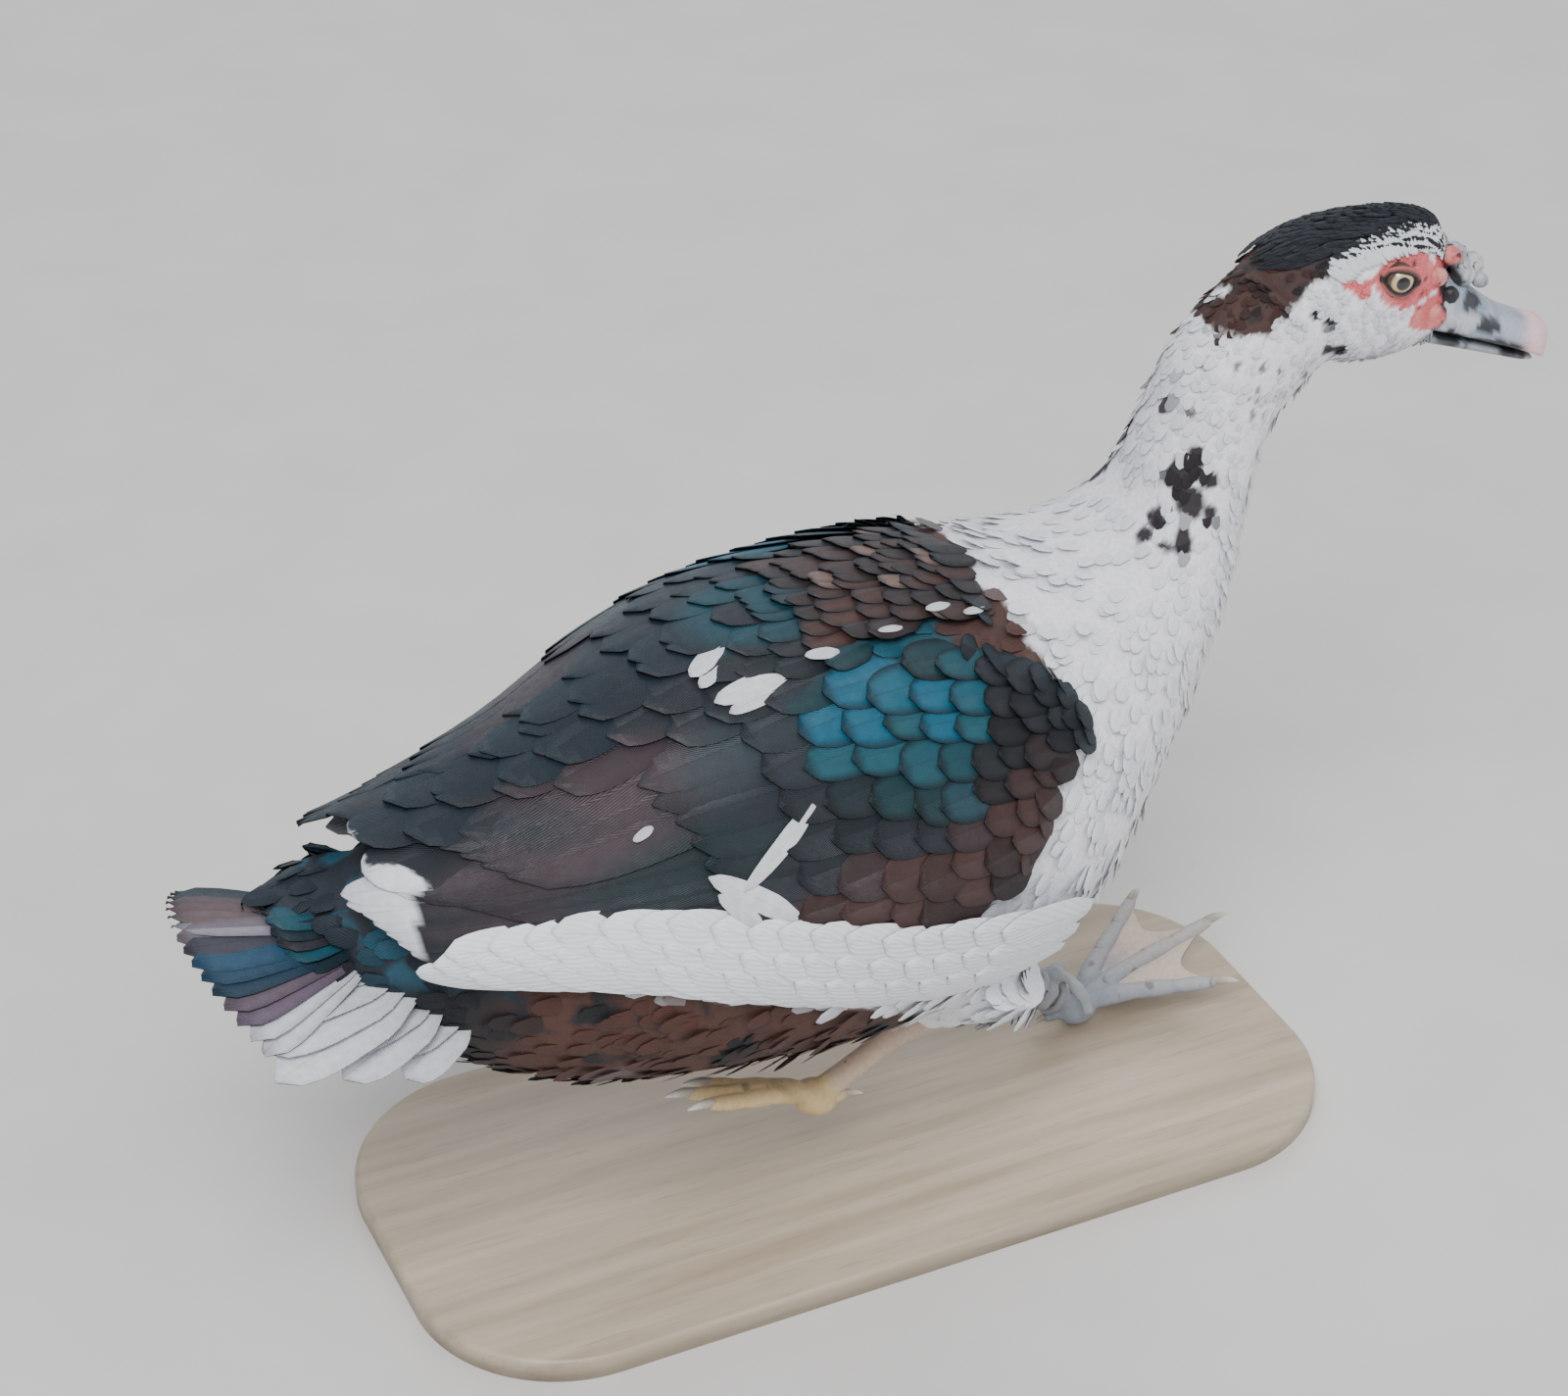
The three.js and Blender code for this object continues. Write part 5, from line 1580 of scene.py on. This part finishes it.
def make_claw(side, name, points, placed, materials):
    end = points[-1]
    aim = unit(points[-1] - points[-3])
    size = 0.7 if name == "hind" else 1.0
    d = np.linspace(-1.5, 10, 12)
    step = (d + 1.5) / 11.5 * 3
    path = [end + aim * a * size + [0, 0, (0.6 - 0.28 * i * i) * size] for a, i in zip(d, step)]
    radii = np.interp(step, [0, 1, 2, 3], [2.0, 2.0, 1.4, 0.4]) * size
    tube = limb(path, radii, 18)
    claw = solid_mesh("claw_horn_" + side + "_" + name, placed(tube[0]), tube[1])
    along_claw = np.append(np.repeat(d / 10, 18), [0, 1])
    paint(claw, blend((0.42, 0.36, 0.30), (0.70, 0.66, 0.60), smooth(along_claw, 0.1, 0.9)))
    set_uv(claw, "OFBake", np.stack([along_claw * 0.1, along_claw * 0.02], -1))
    dress(claw, materials["bill"], "claw_horn", "claw_" + side + "_" + name)


def make_tie(materials):
    """The rag's turns round the ankle, its knot in front and two frayed ends"""
    hock, base = on_ground(LEGS["left"]["hock"]), on_ground(LEGS["left"]["ball"])
    up = unit(hock - base)
    ahead = unit(np.cross([0, 1, 0], up))
    side = np.cross(up, ahead)
    shapes = []
    for turn_up, lean in ((15, 0.8), (18.5, -1.0), (22, 0.6), (25, -0.5)):
        q = np.linspace(0, 2 * np.pi, 26)
        path = []
        for a in q:
            out = math.cos(a) * ahead + math.sin(a) * side
            path.append(base + up * (turn_up + lean * math.sin(a)) + TIE_RADIUS * out)
        shapes.append(limb(path, 1.55 + 0.22 * np.sin(5 * q + turn_up), 12))
    knot = base + up * 20 + ahead * 8.6
    for plane in ((side, up), (side, ahead), (up, ahead)):
        q = np.linspace(0, 2 * np.pi, 20)
        path = [knot + 3.0 * (math.cos(b) * plane[0] + 0.8 * math.sin(b) * plane[1]) for b in q]
        shapes.append(limb(path, np.full(20, 1.9), 12))
    for s in (-1, 1):
        drop = np.array([(0, 0, 0), (5, s * 5, -1), (8, s * 12, -7), (8, s * 16.5, -12)], float) + knot
        t = np.linspace(0, 3, 14)
        radii = np.interp(t, [0, 1, 2, 3], [2.6, 3.2, 2.8, 1.7]) + 0.3 * np.sin(5 * t)
        shapes.append(limb(along(drop, t), radii, 14, 0.5))
    rag = fuse("rag_tie", shapes, 0.6, 3)
    p, n = points_of(rag), normals_of(rag)
    set_points(rag, p + n * (0.25 * ripple(p, 1.3, 4))[:, None])
    set_uv(rag, "OFBake", np.stack([0.5 + p[:, 1] / 200, 0.5 + p[:, 2] / 200], -1))
    dress(rag, materials["cloth"], "tie_rag", "leg_tie")


# Base, floor and light

def make_base(materials):
    outline = []
    for cx, cy, start in ((1, 1, 0), (-1, 1, 90), (-1, -1, 180), (1, -1, 270)):
        for a in np.radians(np.linspace(start, start + 90, 25)):
            x = cx * (BASE_LENGTH / 2 - BASE_CORNER) + BASE_CORNER * math.cos(a)
            outline.append([x, cy * (BASE_WIDTH / 2 - BASE_CORNER) + BASE_CORNER * math.sin(a)])
    outline = np.array(outline)
    rings = []
    # The upper edge is rounded over by insets at rising heights
    for inset, z in ((0, 0), (0, 7.8), (0.3, 8.9), (1.0, 9.6), (2.2, 10)):
        scale = 1 - inset / np.linalg.norm(outline, axis=1, keepdims=True)
        rings.append(np.concatenate([outline * scale, np.full((len(outline), 1), z)], 1))
    base = solid_mesh("base_board", *closed_loft(rings))
    p = points_of(base)
    set_uv(base, "OFBake", 0.5 + p[:, :2] / 400)
    dress(base, materials["board"], "base_board", "stand_base")


FLOOR_REACH = 4000
# Lights: name, place in metres, size in metres and power in watts
LIGHTS = [
    ("key", (-0.9, -1.5, 2.3), 1.3, 80),
    ("fill", (1.9, -1.2, 1.4), 2.2, 20),
    ("rim", (0.6, 1.9, 1.9), 1.8, 22),
]


def make_studio():
    corners = [(x * FLOOR_REACH, y * FLOOR_REACH, 0) for x, y in ((-1, -1), (1, -1), (1, 1), (-1, 1))]
    floor = make_mesh("floor", corners, [(0, 1, 2, 3)])
    m = Nodes("floor_paper")
    grain = m.noise(14.0, 4.0)
    colour = m.mix(m.ramp(grain, 0.3, 0.7), (0.62, 0.61, 0.59, 1), (0.66, 0.65, 0.63, 1))
    floor.data.materials.append(m.finish(Base_Color=colour, Roughness=0.85))
    for name, place, size, power in LIGHTS:
        lamp = bpy.data.lights.new(name, "AREA")
        lamp.size = size
        lamp.energy = power
        holder = bpy.data.objects.new(name, lamp)
        holder.location = place
        aim = np.array([0.0, 0.0, 0.18]) - np.array(place)
        tilt = math.atan2(math.hypot(aim[0], aim[1]), -aim[2])
        holder.rotation_euler = (tilt, 0, math.atan2(aim[1], aim[0]) - math.pi / 2)
        bpy.context.collection.objects.link(holder)
    world = bpy.data.worlds.new("studio")
    world.use_nodes = True
    world.node_tree.nodes["Background"].inputs[0].default_value = (0.86, 0.88, 0.92, 1)
    world.node_tree.nodes["Background"].inputs[1].default_value = 0.6
    bpy.context.scene.world = world


materials = dict(
    down=feather_material("small_feathers", barbs=7.0, gloss=0.62, edge=False, sheen=0.1, dust=0.12),
    quill=feather_material(
        "large_feathers", barbs=30.0, gloss=0.42, sheen=0.08, sheen_tint=(0.3, 0.6, 0.8, 1)
    ),
    skin=skin_material(),
    wattle=tinted_material("bare_skin", 0.4, 900.0, 0.0005, coat=0.15, subsurface=0.1),
    bill=tinted_material("bill_horn", 0.36, 700.0, 0.0002, coat=0.35, subsurface=0.05),
    scutes=tinted_material("foot_skin", 0.5, 520.0, 0.0006, coat=0.05, subsurface=0.05),
    eye=eye_material(),
    cloth=cloth_material(),
    board=board_material(),
)

make_camera()
make_studio()
skin = make_skin()
dress(skin, materials["skin"], "white_feather", "torso", "neck", "head", "thigh_left", "thigh_right")
make_coat(skin, materials)
make_head_parts(materials)
make_crest(materials)
for side, name in ((1, "left"), (-1, "right")):
    under, coat, flank = make_wing(side, name)
    dress(under, materials["quill"], "dark_feather", "wing_" + name)
    dress(coat, materials["quill"], "dark_feather")
    dress(flank, materials["down"], "white_feather")
dress(make_tail(), materials["quill"], "dark_feather", "tail")
for side in ("left", "right"):
    make_leg(side, materials)
make_tie(materials)
make_base(materials)
